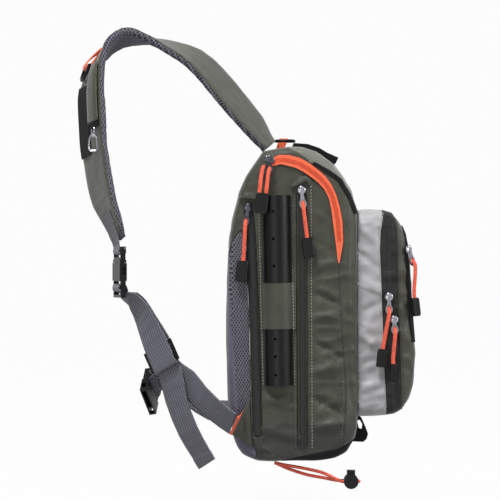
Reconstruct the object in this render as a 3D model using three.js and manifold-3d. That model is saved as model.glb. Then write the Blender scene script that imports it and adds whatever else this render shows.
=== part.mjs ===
// A fishing tackle sling bag: a tapered body with a padded back, a front pocket, a rod tube,
// a padded shoulder strap and its lower webbing. Millimetres, +Z up, +X from the wearer's back
// to the front pocket, -Y to the side with the rod tube. The origin is the underside of the
// strap's arch, where the bag hangs on a shoulder.
import * as THREE from 'three';
import { mergeVertices } from 'three/addons/utils/BufferGeometryUtils.js';
import Module from 'manifold-3d';

const wasm = await Module();
wasm.setup();

// Clearances and cloth
const GAP = 0.3;
const FLATNESS = 0.1;
const TWISTED_FLATNESS = 0.001;
const CLOTH = 2.5;
const SKIN = 1.4;

// Body
const BODY_HEIGHT = 427;
const BODY_DEPTH = 178;
const BODY_WIDTH = 240;
const TOP_TAPER = 0.2;
const EDGE_RADIUS = 20;
const FRONT_INSET = 19;
const BACK_INSET = 8;
const TOP_INSET = 12;
const BOTTOM_INSET = 6;
const CROWN = 0.15;
const PAD_THICKNESS = 14;

// Front pocket
const POCKET_HEIGHT = 281;
const POCKET_DEPTH = 80;
const POCKET_WIDTH = 190;
const POCKET_RISE = 59;
const POCKET_EDGE = 24;
const POCKET_INSET = 16;

// Zips and strips
const ZIP_PROUD = 3;
const COIL_WIDTH = 9.5;
const COIL_PROUD = 1.8;
const HOOD_PROUD = 5;
const STRIP_WIDTH = 4.8;
const FLAP_WIDTH = 130;
const FLAP_THICKNESS = 2.5;

// Rod tube
const TUBE_RADIUS = 18;
const TUBE_WALL = 2;
const TUBE_FLANGE = 2.3;
const TUBE_LENGTH = 257;
const TUBE_TOP = 0.843;
const TUBE_PLACE = 0.379;
const TUBE_LEAN = 0.9;
const TUBE_BAND_LENGTH = 62;
const TUBE_BAND_DROP = 119;
const TUBE_BAND_FLANGE = 4;
const VENT_RADIUS = 2.1;
const VENT_TURN = -15;

// Padded strap
const STRAP_WIDTH = 68;
const STRAP_THICKNESS = 11;
const STRAP_COVER = 2.2;
const ARM_REACH = 184;
const ARM_DROP = 151;
const CHEST_REACH = 61;
const CHEST_DROP = 275;
const CHEST_SHIFT = 60;
const ARCH_HEIGHT = 9.5;

// Webbing, buckle and tri-glide
const WEBBING = 38;
const WEBBING_THICKNESS = 1.6;
const BUCKLE_WIDTH = 47;
const BUCKLE_LENGTH = 66;
const BUCKLE_THICKNESS = 10;
const BUCKLE_TILT = 15;
const BUCKLE_WALL = 2;
const BUCKLE_DROP = 13.5;
const MALE_SLOT = 6.5;
const MALE_WEBBING = 34;
const BAR = 4;
const GLIDE_LENGTH = 31;
const GLIDE_WIDTH = 48;
const GLIDE_THICKNESS = 2.5;
const TAIL_DROP = 145;

// Wings and the far webbing
const WING_FLARE = 27;
const WING_THICKNESS = 2.5;
const PIPING_RADIUS = 1.9;
const FAR_REACH = 116;
const FAR_SWING = 28;
const FAR_RISE = 47;
const FAR_TILT = -15;

// Metal, cords and small parts
const PULL_CORD = 4.4;
const PULL_REACH = 100;
const SLIDER_WIDTH = 8;
const SLIDER_HEIGHT = 9;
const SLIDER_THICKNESS = 4;
const TAB_PLATE = 1.6;
const GRIP_THICKNESS = 8;
const BORE_DEPTH = 6;
const FRONT_PULL_PLACE = -0.9;
const FRONT_PULL_TURN = 45;
const RING_WIRE = 1.2;
const DRING_WIRE = 2.2;
const DRING_DEPTH = 0.7;
const DRING_SQUARENESS = 0.6;
const TOP_DRING = 25;
const TOP_LOOP_WIDTH = 11.5;
const TOP_LOOP_HEIGHT = 16.5;
const FRONT_LOOP_WIDTH = 28;
const SHOCK_CORD = 3.6;
const STRAND_GAP = 14.4;
const LOOP_PLACE = 0.415;
const LOOP_REACH = 104;
const LOOP_DROP = 25;
const LOCK_RADIUS = 10;
const LOCK_LENGTH = 24;
const LOCK_TRAVEL = 3;
const BUTTON_PROUD = 5;

// Fittings on the strap: a place along it is a share of the chest side's length
const RING_SHARE = 0.225;
const RING_ASIDE = 0.26;
const RING_WEBBING = 20;
const STRAP_DRING = 29;
const POCKET_PUFF = 2.4;
const CLIP_SHARE = 0.53;
const CLIP_ASIDE = -0.42;
const CLIP_STANDOFF = 9;
const EYE_RADIUS = 4.2;
const STEM_RADIUS = 1.2;
const COLLAR_RADIUS = 3.2;
const COLLAR_HEIGHT = 3;
const HOOK_HEIGHT = 24;
const HOOK_WIDTH = 14;
const HOOK_TIP = 4.5;
const GATE_WIRE = 0.9;
const TAB_WIDTH = 3.6;
const TAB_THICKNESS = 1.2;

const UP = new THREE.Vector3(0, 0, 1);
const ACROSS = new THREE.Vector3(0, 1, 0);
const RAD = Math.PI / 180;

// The strap hangs from the origin, and the body hangs from the strap's rear end.
const STRAP_SEAT_U = 0.33;
const STRAP_SEAT_V = 1.006;
const BODY_BACK = ARM_REACH - STRAP_SEAT_U * BODY_DEPTH;
const BODY_BOTTOM = ARCH_HEIGHT - ARM_DROP - STRAP_SEAT_V * BODY_HEIGHT;

// Materials
const OLIVE = { color: 0x3e3e36, roughness: 0.75, metalness: 0 };
const MESH_GREY = { color: 0x57556a, roughness: 0.9, metalness: 0 };
const SILVER_CLOTH = { color: 0x9c99a0, roughness: 0.6, metalness: 0 };
const ORANGE = { color: 0xf0592d, roughness: 0.6, metalness: 0 };
const BLACK_CLOTH = { color: 0x17161c, roughness: 0.85, metalness: 0 };
const BLACK_PLASTIC = { color: 0x1a1a20, roughness: 0.4, metalness: 0 };
const WEB_GREY = { color: 0x6b6a7c, roughness: 0.85, metalness: 0 };
const STEEL = { color: 0xc8c8cc, roughness: 0.25, metalness: 1 };
const GUNMETAL = { color: 0x4a4a50, roughness: 0.35, metalness: 1 };

const bag = new THREE.Group();

// Faces of a closed surface turned outwards, with shared vertices merged
function closed(geometry) {
  geometry.deleteAttribute('normal');
  geometry.deleteAttribute('uv');
  const merged = mergeVertices(geometry, 1e-4);
  const place = merged.attributes.position;
  const index = merged.index.array;
  const a = new THREE.Vector3();
  const b = new THREE.Vector3();
  const c = new THREE.Vector3();
  let volume = 0;
  for (let i = 0; i < index.length; i += 3) {
    a.fromBufferAttribute(place, index[i]);
    b.fromBufferAttribute(place, index[i + 1]);
    c.fromBufferAttribute(place, index[i + 2]);
    volume += a.dot(b.cross(c));
  }
  if (volume < 0) {
    for (let i = 0; i < index.length; i += 3) {
      [index[i], index[i + 1]] = [index[i + 1], index[i]];
    }
  }
  return merged;
}

function solidOf(geometry) {
  const merged = closed(geometry);
  const vertProperties = new Float32Array(merged.attributes.position.array);
  const triVerts = new Uint32Array(merged.index.array);
  return new wasm.Manifold(new wasm.Mesh({ numProp: 3, vertProperties, triVerts }));
}

function geometryOf(solid) {
  const mesh = solid.getMesh();
  const geometry = new THREE.BufferGeometry();
  geometry.setAttribute('position', new THREE.BufferAttribute(new Float32Array(mesh.vertProperties), 3));
  geometry.setIndex(new THREE.BufferAttribute(new Uint32Array(mesh.triVerts), 1));
  geometry.computeVertexNormals();
  return geometry;
}

function add(name, solid, look, flatness = FLATNESS) {
  const mesh = new THREE.Mesh(geometryOf(solid.simplify(flatness)), new THREE.MeshStandardMaterial(look));
  mesh.name = name;
  bag.add(mesh);
}

// Surface through rings of points, with a flat cap on each end
function loft(rings) {
  const count = rings[0].length;
  const points = rings.flat();
  const faces = [];
  for (let i = 0; i + 1 < rings.length; i += 1) {
    for (let j = 0; j < count; j += 1) {
      const k = (j + 1) % count;
      const low = i * count;
      const high = low + count;
      faces.push(low + j, low + k, high + k, low + j, high + k, high + j);
    }
  }
  const lastRing = (rings.length - 1) * count;
  for (const [a, b, c] of capFaces(rings[0])) {
    faces.push(c, b, a);
  }
  for (const [a, b, c] of capFaces(rings[rings.length - 1])) {
    faces.push(lastRing + a, lastRing + b, lastRing + c);
  }
  const geometry = new THREE.BufferGeometry();
  const flat = points.flatMap((p) => [p.x, p.y, p.z]);
  geometry.setAttribute('position', new THREE.Float32BufferAttribute(flat, 3));
  geometry.setIndex(faces);
  return geometry;
}

// Triangles of a flat ring, seen against its own normal, in the ring's own turning sense
function capFaces(ring) {
  const normal = new THREE.Vector3();
  ring.forEach((p, i) => normal.add(p.clone().cross(ring[(i + 1) % ring.length])));
  normal.normalize();
  const side = ring[1].clone().sub(ring[0]);
  side.addScaledVector(normal, -side.dot(normal)).normalize();
  const rise = normal.clone().cross(side);
  const flat = ring.map((p) => new THREE.Vector2(p.dot(side), p.dot(rise)));
  return THREE.ShapeUtils.triangulateShape(flat, []);
}

// A flat outline in X and Z, extruded along Y
function prism(points, yFrom, yTo) {
  const shape = new THREE.Shape(points.map(([x, z]) => new THREE.Vector2(x, z)));
  const geometry = new THREE.ExtrudeGeometry(shape, { depth: yTo - yFrom, bevelEnabled: false,
    curveSegments: 8 });
  const turn = new THREE.Matrix4().set(1, 0, 0, 0, 0, 0, 1, yFrom, 0, 1, 0, 0, 0, 0, 0, 1);
  geometry.applyMatrix4(turn);
  return solidOf(geometry);
}

// A shape extruded along its own +Z, then set in a frame
function extruded(shape, depth, frame = new THREE.Matrix4()) {
  const geometry = new THREE.ExtrudeGeometry(shape, { depth, bevelEnabled: false, curveSegments: 6 });
  geometry.applyMatrix4(frame);
  return solidOf(geometry);
}

function box(width, depth, height, x, y, z, frame = new THREE.Matrix4()) {
  const geometry = new THREE.BoxGeometry(width, depth, height);
  geometry.translate(x, y, z);
  geometry.applyMatrix4(frame);
  return solidOf(geometry);
}

// A rod between two points
function rod(from, to, radius, sides = 10) {
  const along = to.clone().sub(from);
  const geometry = new THREE.CylinderGeometry(radius, radius, along.length(), sides);
  geometry.applyQuaternion(new THREE.Quaternion().setFromUnitVectors(ACROSS, along.clone().normalize()));
  geometry.translate((from.x + to.x) / 2, (from.y + to.y) / 2, (from.z + to.z) / 2);
  return solidOf(geometry);
}

// A round tube along a smooth curve through points
function tube(points, radius, sides, steps, isClosed = false) {
  const section = new THREE.Shape();
  for (let i = 0; i < sides; i += 1) {
    const turn = (i / sides) * 2 * Math.PI;
    const [x, y] = [radius * Math.cos(turn), radius * Math.sin(turn)];
    if (i === 0) {
      section.moveTo(x, y);
    } else {
      section.lineTo(x, y);
    }
  }
  const path = new THREE.CatmullRomCurve3(points, isClosed, 'centripetal');
  return solidOf(new THREE.ExtrudeGeometry(section, { steps, extrudePath: path, bevelEnabled: false }));
}

function rounded(width, height, radius) {
  const shape = new THREE.Shape();
  const [w, h, r] = [width / 2, height / 2, Math.min(radius, width / 2.01, height / 2.01)];
  shape.moveTo(-w + r, -h);
  shape.lineTo(w - r, -h);
  shape.absarc(w - r, -h + r, r, -Math.PI / 2, 0, false);
  shape.lineTo(w, h - r);
  shape.absarc(w - r, h - r, r, 0, Math.PI / 2, false);
  shape.lineTo(-w + r, h);
  shape.absarc(-w + r, h - r, r, Math.PI / 2, Math.PI, false);
  shape.lineTo(-w, -h + r);
  shape.absarc(-w + r, -h + r, r, Math.PI, 1.5 * Math.PI, false);
  return shape;
}

// Body: places on its side are shares of its depth and height, from the bottom back corner
const bodyX = (u) => BODY_BACK + u * BODY_DEPTH;
const bodyZ = (v) => BODY_BOTTOM + v * BODY_HEIGHT;
const onBody = (rows) => rows.map(([u, v]) => [bodyX(u), bodyZ(v)]);
const halfWidthAt = (z) => (BODY_WIDTH / 2) * (1 - (TOP_TAPER * (z - BODY_BOTTOM)) / BODY_HEIGHT);

// Outline of the body from the side: share of depth, share of height
const BODY_OUTLINE = [
  [0.239, 0.0], [0.128, 0.018], [0.083, 0.043], [0.052, 0.075], [0.013, 0.189], [0.0, 0.383],
  [0.006, 0.561], [0.021, 0.701], [0.044, 0.761], [0.098, 0.853], [0.151, 0.904], [0.212, 0.942],
  [0.281, 0.984], [0.406, 0.995], [0.486, 1.0], [0.578, 0.998], [0.7, 0.982], [0.807, 0.949],
  [0.898, 0.898], [0.951, 0.861], [0.995, 0.8], [1.0, 0.7], [1.0, 0.56], [1.0, 0.367],
  [1.0, 0.18], [0.995, 0.107], [0.975, 0.07], [0.917, 0.027], [0.829, 0.008], [0.7, 0.0],
  [0.5, 0.0], [0.342, -0.002],
];

// Seam between the back pad's side and the side panel
const PAD_EDGE = [
  [-0.085, 0.631], [0.021, 0.66], [0.054, 0.704], [0.117, 0.733], [0.151, 0.685], [0.162, 0.542],
  [0.176, 0.415], [0.181, 0.205], [0.189, 0.065], [0.225, 0.03], [0.238, -0.06], [-0.085, -0.06],
];

// Seam above the bottom panel
const BOTTOM_EDGE = [
  [0.273, -0.06], [0.3, -0.03], [0.441, 0.005], [0.646, 0.024], [0.852, 0.04], [0.959, 0.064],
  [1.066, 0.091], [1.066, -0.06],
];

// Rounded side edges: place across the width and share of the inset
function edgeStations(halfWidth, edge, growth, crown) {
  const half = halfWidth + growth;
  const near = [];
  const turns = 3;
  for (let i = 0; i <= turns; i += 1) {
    const turn = (i / turns) * 90 * RAD;
    near.push([-half + edge - edge * Math.cos(turn), 1 - Math.sin(turn)]);
  }
  near.push([-half / 2, -0.7 * crown]);
  const far = near.map(([y, share]) => [-y, share]).reverse();
  return [...near, [0, -crown], ...far];
}

function outlineCurve(rows, perRow) {
  const curve = new THREE.CatmullRomCurve3(rows.map(([u, v]) => new THREE.Vector3(u, 0, v)), true,
    'centripetal');
  const count = rows.length * perRow;
  return Array.from({ length: count }, (_, i) => curve.getPoint(i / count));
}

const bodySolids = new Map();
function bodySolid(growth) {
  if (!bodySolids.has(growth)) {
    const outline = outlineCurve(BODY_OUTLINE, 1);
    const rings = edgeStations(BODY_WIDTH / 2, EDGE_RADIUS, growth, CROWN).map(([y, share]) =>
      outline.map((p) => {
        const [x, z] = [(p.x - 0.5) * 2, (p.z - 0.5) * 2];
        const insetX = (x > 0 ? FRONT_INSET : BACK_INSET) * share - growth;
        const insetZ = (z > 0 ? TOP_INSET : BOTTOM_INSET) * share - growth;
        const wide = x * (BODY_DEPTH / 2 - insetX);
        const high = z * (BODY_HEIGHT / 2 - insetZ);
        return new THREE.Vector3(bodyX(0.5) + wide, y, bodyZ(0.5) + high);
      }));
    bodySolids.set(growth, solidOf(loft(rings)));
  }
  return bodySolids.get(growth);
}

// The body narrows towards its top, and what is sewn to it follows
function tapered(solid) {
  return solid.warp((place) => {
    place[1] *= 1 - (TOP_TAPER * (place[2] - BODY_BOTTOM)) / BODY_HEIGHT;
  });
}

const FAR_OUT = BODY_WIDTH;
const nearSide = [-FAR_OUT, -BODY_WIDTH / 4];

// A layer of cloth or tape on the body's surface, inside an outline seen from the side
function onSurface(points, thickness, [yFrom, yTo] = nearSide) {
  const layer = prism(points, yFrom, yTo).intersect(bodySolid(GAP + thickness));
  return layer.subtract(bodySolid(GAP));
}

// Outline of a band along a centre line: rows of place and width in millimetres
function band(centre, widths) {
  const edge = (sign) => centre.map(([x, z], i) => {
    const before = centre[Math.max(0, i - 1)];
    const after = centre[Math.min(centre.length - 1, i + 1)];
    const [dx, dz] = [after[0] - before[0], after[1] - before[1]];
    const reach = (sign * widths[i]) / 2 / Math.hypot(dx, dz);
    return [x - dz * reach, z + dx * reach];
  });
  return [...edge(1), ...edge(-1).reverse()];
}

// What is left of a solid beside a cut, clear of it by the gap on every side
function besideCut(solid, cut) {
  let left = solid.subtract(cut);
  for (const [x, z] of [[1, 1], [-1, 1], [1, -1], [-1, -1]]) {
    left = left.subtract(cut.translate([x * GAP, 0, z * GAP]));
  }
  return left;
}

function makeBody() {
  const padCut = prism(onBody(PAD_EDGE), -FAR_OUT, FAR_OUT);
  const bottomCut = prism(onBody(BOTTOM_EDGE), -FAR_OUT, FAR_OUT);
  const hollow = bodySolid(-CLOTH);
  const skin = bodySolid(0).subtract(hollow);
  const padPiece = bodySolid(0).intersect(padCut).subtract(bodySolid(-PAD_THICKNESS));
  const shell = besideCut(besideCut(skin, padCut), bottomCut);
  const bottom = besideCut(skin.intersect(bottomCut), padCut);
  const raised = (rows, proud) =>
    prism(onBody(rows), ...nearSide).intersect(bodySolid(proud)).subtract(bodySolid(-CLOTH / 2));
  const hoods = raised(MID_HOOD, HOOD_PROUD).add(raised(BACK_HOOD, HOOD_PROUD)).add(raised(END_TAB, SKIN));
  add('body_shell', tapered(besideCut(shell.add(hoods), padCut)), OLIVE);
  add('back_pad', tapered(padPiece), MESH_GREY);
  add('bottom_panel', tapered(bottom), BLACK_CLOTH);
}

// Main zip along the edge of the side panel: share of depth, share of height, share of width
const MAIN_ZIP_WIDTH = 14.5;
const MAIN_ZIP = [
  [0.341, 0.947, 0.75], [0.409, 0.957, 0.88], [0.473, 0.954, 1.0], [0.546, 0.946, 1.0],
  [0.605, 0.933, 0.97], [0.678, 0.911, 0.93], [0.726, 0.894, 0.88], [0.773, 0.87, 0.8],
  [0.811, 0.837, 0.75], [0.834, 0.797, 0.8], [0.849, 0.756, 0.87], [0.861, 0.694, 0.7],
  [0.856, 0.628, 0.12],
];
const BACK_ZIP = [[0.163, 0.815], [0.185, 0.732], [0.197, 0.637], [0.219, 0.416], [0.23, 0.258], [0.238,
  0.085]];
const MID_ZIP = [[0.572, 0.852], [0.574, 0.732], [0.576, 0.511], [0.578, 0.29], [0.58, 0.046]];
const MID_HOOD = [[0.49, 0.866], [0.553, 0.89], [0.606, 0.906], [0.64, 0.896], [0.652, 0.866], [0.61,
  0.888], [0.56, 0.876]];
const BACK_HOOD = [[0.095, 0.832], [0.151, 0.848], [0.212, 0.842], [0.23, 0.828], [0.15, 0.833]];
const END_TAB = [[0.197, 0.078], [0.288, 0.078], [0.265, 0.03], [0.238, 0.03]];
const STRIP = [[0.66, 0.945], [0.7, 0.937], [0.789, 0.916], [0.873, 0.891], [0.903, 0.867], [0.938,
  0.845], [0.962, 0.82], [0.996, 0.785]];

function makeZips() {
  const zip = band(onBody(MAIN_ZIP), MAIN_ZIP.map((row) => row[2] * MAIN_ZIP_WIDTH));
  add('main_zip', tapered(onSurface(zip, ZIP_PROUD)), ORANGE);
  const coil = (rows) => onSurface(band(onBody(rows), rows.map(() => COIL_WIDTH)), COIL_PROUD);
  add('back_zip', tapered(coil(BACK_ZIP)), BLACK_CLOTH);
  add('mid_zip', tapered(coil(MID_ZIP)), BLACK_CLOTH);
}

function makeTopTrim() {
  const strip = band(onBody(STRIP), STRIP.map(() => STRIP_WIDTH));
  const near = onSurface(strip, SKIN).subtract(pocketSolid(2 * GAP));
  add('trim_near', tapered(near), BLACK_CLOTH);
  add('trim_far', tapered(near.scale([1, -1, 1])), BLACK_CLOTH);
  // The flap's outline from the side: share of depth, share of height
  const flap = [[0.513, 1.003], [0.62, 1.0], [0.705, 0.988], [0.76, 0.974], [0.851, 0.957]];
  const sheet = band(onBody(flap), flap.map(() => 2 * FLAP_THICKNESS + 3));
  const onTop = prism(sheet, -FLAP_WIDTH / 2, FLAP_WIDTH / 2).subtract(bodySolid(GAP));
  add('top_flap', onTop, BLACK_CLOTH);
}

// Rod tube on the side panel: across the tube, out from the panel, up the tube
function makeRodTube() {
  const panel = -BODY_WIDTH / 2 - GAP;
  const topZ = bodyZ(TUBE_TOP);
  const centreX = bodyX(TUBE_PLACE);
  const lean = new THREE.Matrix4().makeRotationY(-TUBE_LEAN * RAD);
  const place = new THREE.Matrix4().makeTranslation(centreX, panel, topZ).multiply(lean);
  // The section's X is across and its Y is out of the panel, towards -Y
  const stand = new THREE.Matrix4().set(1, 0, 0, 0, 0, -1, 0, 0, 0, 0, -1, 0, 0, 0, 0, 1);
  const frame = place.clone().multiply(stand);
  const section = new THREE.Shape();
  const inner = TUBE_RADIUS - TUBE_WALL;
  section.moveTo(-TUBE_RADIUS - TUBE_FLANGE, 0);
  section.lineTo(-inner, 0);
  section.absarc(0, 0, inner, Math.PI, 0, true);
  section.lineTo(TUBE_RADIUS + TUBE_FLANGE, 0);
  section.lineTo(TUBE_RADIUS + TUBE_FLANGE, TUBE_WALL);
  section.lineTo(TUBE_RADIUS * Math.cos(0.12), TUBE_WALL + 0.1);
  section.absarc(0, 0, TUBE_RADIUS, 0.15, Math.PI - 0.15, false);
  section.lineTo(-TUBE_RADIUS - TUBE_FLANGE, TUBE_WALL);
  const geometry = new THREE.ExtrudeGeometry(section, { depth: TUBE_LENGTH, bevelEnabled: false,
    curveSegments: 10 });
  geometry.applyMatrix4(frame);
  let pipe = solidOf(geometry);
  const vents = [0.085, 0.23, 0.372, 0.756, 0.848, 0.944];
  for (const share of vents) {
    const out = new THREE.Vector3(Math.sin(VENT_TURN * RAD), Math.cos(VENT_TURN * RAD), 0);
    const from = new THREE.Vector3(0, 0, share * TUBE_LENGTH).addScaledVector(out,
      inner / 2).applyMatrix4(frame);
    const to = new THREE.Vector3(0, 0, share * TUBE_LENGTH).addScaledVector(out,
      2 * TUBE_RADIUS).applyMatrix4(frame);
    pipe = pipe.subtract(rod(from, to, VENT_RADIUS, 8));
  }
  add('rod_tube', tapered(pipe), BLACK_PLASTIC);

  const over = TUBE_RADIUS + GAP;
  const wide = TUBE_RADIUS + TUBE_FLANGE;
  const cover = new THREE.Shape();
  cover.moveTo(-wide - TUBE_BAND_FLANGE, 0);
  cover.lineTo(-wide - GAP, 0);
  cover.lineTo(-wide - GAP, TUBE_WALL + GAP);
  cover.lineTo(-over * Math.cos(0.2), TUBE_WALL + GAP + 0.4);
  cover.absarc(0, 0, over + 0.15, Math.PI - 0.22, 0.22, true);
  cover.lineTo(over * Math.cos(0.2), TUBE_WALL + GAP + 0.4);
  cover.lineTo(wide + GAP, TUBE_WALL + GAP);
  cover.lineTo(wide + GAP, 0);
  cover.lineTo(wide + TUBE_BAND_FLANGE, 0);
  cover.lineTo(wide + TUBE_BAND_FLANGE, SKIN);
  cover.lineTo(wide + GAP + SKIN, TUBE_WALL + GAP + SKIN);
  cover.absarc(0, 0, over + SKIN, 0.27, Math.PI - 0.27, false);
  cover.lineTo(-wide - GAP - SKIN, TUBE_WALL + GAP + SKIN);
  cover.lineTo(-wide - TUBE_BAND_FLANGE, SKIN);
  const coverGeometry = new THREE.ExtrudeGeometry(cover, { depth: TUBE_BAND_LENGTH, bevelEnabled: false,
    curveSegments: 10 });
  coverGeometry.translate(0, 0, TUBE_BAND_DROP);
  coverGeometry.applyMatrix4(frame);
  add('tube_band', tapered(solidOf(coverGeometry)), OLIVE);
}

// Front pocket: places are shares of its depth and height, from the body's front and the pocket's bottom
const POCKET_BACK = BODY_BACK + BODY_DEPTH;
const POCKET_BOTTOM = BODY_BOTTOM + POCKET_RISE;
const pocketX = (u) => POCKET_BACK + u * POCKET_DEPTH;
const pocketZ = (v) => POCKET_BOTTOM + v * POCKET_HEIGHT;
const onPocket = (rows) => rows.map(([u, v]) => [pocketX(u), pocketZ(v)]);
const POCKET_OUTLINE = [
  [-0.2, 0.97], [-0.072, 0.986], [0.115, 1.0], [0.268, 1.0], [0.455, 0.997], [0.607, 0.984], [0.692, 0.953],
  [0.777, 0.912], [0.828, 0.874], [0.862, 0.831], [0.905, 0.734], [0.93, 0.616], [0.964, 0.468],
  [0.998, 0.347], [0.998, 0.265], [0.964, 0.154], [0.889, 0.081], [0.769, 0.035], [0.64, 0.012],
  [0.45, 0.004], [0.25, 0.0], [0.05, 0.0], [-0.2, 0.0],
];
const GUSSET_EDGE = [[0.455, 1.06], [0.404, 0.903], [0.387, 0.816], [0.421, 0.575], [0.455, 0.265],
  [0.506, -0.06]];
const ZIP_EDGE = [[0.63, 1.06], [0.675, 0.903], [0.684, 0.816], [0.692, 0.575], [0.726, 0.265], [0.76,
  -0.06]];

function pocketSolid(growth) {
  const outline = outlineCurve(POCKET_OUTLINE, 1);
  const rings = edgeStations(POCKET_WIDTH / 2, POCKET_EDGE, growth, CROWN).map(([y, share]) =>
    outline.map((p) => {
      const [x, z] = [p.x, (p.z - 0.5) * 2];
      const wide = x * (POCKET_DEPTH - POCKET_INSET * share + growth);
      const high = z * (POCKET_HEIGHT / 2 - POCKET_INSET * share + growth);
      return new THREE.Vector3(POCKET_BACK + wide, y, pocketZ(0.5) + high);
    }));
  return solidOf(loft(rings));
}

function makePocket() {
  const skin = pocketSolid(0).subtract(pocketSolid(-CLOTH)).subtract(bodySolid(GAP));
  const ahead = onPocket([[1.3, 1.06], [1.3, -0.06]]).reverse();
  const behind = onPocket([[-0.5, -0.06], [-0.5, 1.06]]);
  const front = prism([...onPocket(ZIP_EDGE), ...ahead], -FAR_OUT, FAR_OUT);
  const back = prism([...onPocket(GUSSET_EDGE), ...behind], -FAR_OUT, FAR_OUT);
  add('pocket_gusset', tapered(skin.intersect(back)), SILVER_CLOTH);
  add('pocket_front', tapered(skin.intersect(front)), OLIVE);
  const between = skin.subtract(back.translate([GAP, 0, 0])).subtract(front.translate([-GAP, 0, 0]));
  add('pocket_zip', tapered(between), BLACK_CLOTH);
  // Arched zip on the pocket's front: share of the half width, share of the pocket's height
  const arch = [[-0.9, 0.36], [-0.9, 0.6], [-0.89, 0.8], [-0.72, 0.88], [-0.4, 0.91], [0.4, 0.91],
    [0.72, 0.88], [0.89, 0.8], [0.9, 0.6], [0.9, 0.36]];
  const line = band(arch.map(([a, v]) => [(a * POCKET_WIDTH) / 2, pocketZ(v)]), arch.map(() => COIL_WIDTH));
  const outline = new THREE.Shape(line.map(([y, z]) => new THREE.Vector2(y, z)));
  const facing = new THREE.Matrix4().set(0, 0, 1, pocketX(0.6), 1, 0, 0, 0, 0, 1, 0, 0, 0, 0, 0, 1);
  const zip = extruded(outline, POCKET_DEPTH,
    facing).intersect(pocketSolid(GAP + SKIN)).subtract(pocketSolid(GAP));
  add('front_zip', tapered(zip), BLACK_CLOTH);
}

// Black loop under the pocket: its side view, and the gap that it holds open
function makeFrontLoop() {
  const outer = [[1.0, 0.137], [1.05, 0.124], [1.085, 0.09], [1.1, 0.072], [1.087, 0.055], [1.062,
    0.046], [0.965, 0.048], [0.965, 0.137]];
  const hole = [[1.015, 0.115], [1.035, 0.118], [1.06, 0.1], [1.055, 0.085], [1.03, 0.088]];
  const half = FRONT_LOOP_WIDTH / 2;
  const loop = prism(onBody(outer), -half, half).subtract(prism(onBody(hole), -2 * half, 2 * half));
  add('front_loop', loop.subtract(bodySolid(GAP)).subtract(pocketSolid(2 * GAP)), BLACK_CLOTH);
}

// Strap: a row for each section. Side (1 towards the bag, -1 down the chest), share of the reach,
// share of the drop, tilt of the outer face towards -Y in degrees, share of the shift, share of the width
const STRAP_ROWS = [
  [1, 1.0, 1.0, 22, 0, 0.62], [1, 0.953, 0.936, 26, 0, 0.7], [1, 0.87, 0.789, 28, 0, 0.93],
  [1, 0.72, 0.57, 28, 0, 1], [1, 0.569, 0.35, 28, 0, 1], [1, 0.434, 0.194, 24, 0, 1],
  [1, 0.268, 0.093, 14, 0, 1], [1, 0.098, 0.02, 1, 0, 1], [1, 0.009, 0.0, -8, 0, 1],
  [-1, 0.171, -0.002, -12, 0.02, 1], [-1, 0.36, 0.006, -12, 0.06, 1], [-1, 0.602, 0.041, -7, 0.12, 1],
  [-1, 0.735, 0.083, 0, 0.18, 1], [-1, 0.867, 0.131, 9, 0.24, 1], [-1, 0.955, 0.196, 20, 0.32, 1],
  [-1, 1.0, 0.277, 27, 0.4, 1], [-1, 0.989, 0.362, 28, 0.48, 1], [-1, 0.963, 0.453, 28, 0.56, 1],
  [-1, 0.935, 0.543, 28, 0.64, 1], [-1, 0.89, 0.613, 28, 0.7, 1], [-1, 0.802, 0.724, 28, 0.8, 1],
  [-1, 0.701, 0.819, 27, 0.88, 0.97], [-1, 0.537, 0.909, 24, 0.95, 0.86], [-1, 0.4, 0.985, 21, 1, 0.7],
  [-1, 0.35, 1.02, 20, 1.02, 0.45],
];

function strapRow([side, reach, drop, tilt, shift, width]) {
  const x = side > 0 ? reach * ARM_REACH : -reach * CHEST_REACH;
  const z = ARCH_HEIGHT - drop * (side > 0 ? ARM_DROP : CHEST_DROP);
  return { place: new THREE.Vector3(x, -shift * CHEST_SHIFT, z), tilt, lift: 0, width };
}

// Sections along a strap or webbing: centre, run, across (towards +Y at no tilt) and out
function sections(rows, perRow) {
  const line = new THREE.CatmullRomCurve3(rows.map((row) => row.place), false, 'centripetal');
  const traits = new THREE.CatmullRomCurve3(rows.map((row) => new THREE.Vector3(row.tilt, row.lift,
    row.width)), false, 'catmullrom', 0.3);
  const count = (rows.length - 1) * perRow;
  return Array.from({ length: count + 1 }, (_, i) => {
    const t = i / count;
    const run = line.getTangent(t);
    const trait = traits.getPoint(t);
    return frameOf(line.getPoint(t), run, trait.x, trait.y, trait.z);
  });
}

function frameOf(centre, run, tilt, lift, width) {
  const level = new THREE.Vector3(run.z, 0, -run.x).normalize();
  const across = ACROSS.clone().multiplyScalar(Math.cos(tilt * RAD)).addScaledVector(level,
    Math.sin(tilt * RAD));
  across.addScaledVector(run, -across.dot(run)).normalize();
  const out = run.clone().cross(across).normalize();
  if (out.dot(level) < 0 && Math.abs(tilt) < 90) {
    out.negate();
  }
  return { centre: centre.clone().addScaledVector(out, lift), run, across, out, width };
}

function at(section, across, out) {
  return section.centre.clone().addScaledVector(section.across, across).addScaledVector(section.out, out);
}

// A strip along sections, between two places across and two heights above the sections' centre
function strip(list, left, right, low, high, shrink = true) {
  const rings = list.map((section) => {
    const scale = shrink ? section.width : 1;
    return [[left, low], [right, low], [right, high], [left, high]].map(([a, b]) => at(section,
      a * scale, b));
  });
  return solidOf(loft(rings));
}

const strapSections = sections(STRAP_ROWS.map(strapRow), 2);

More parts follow.
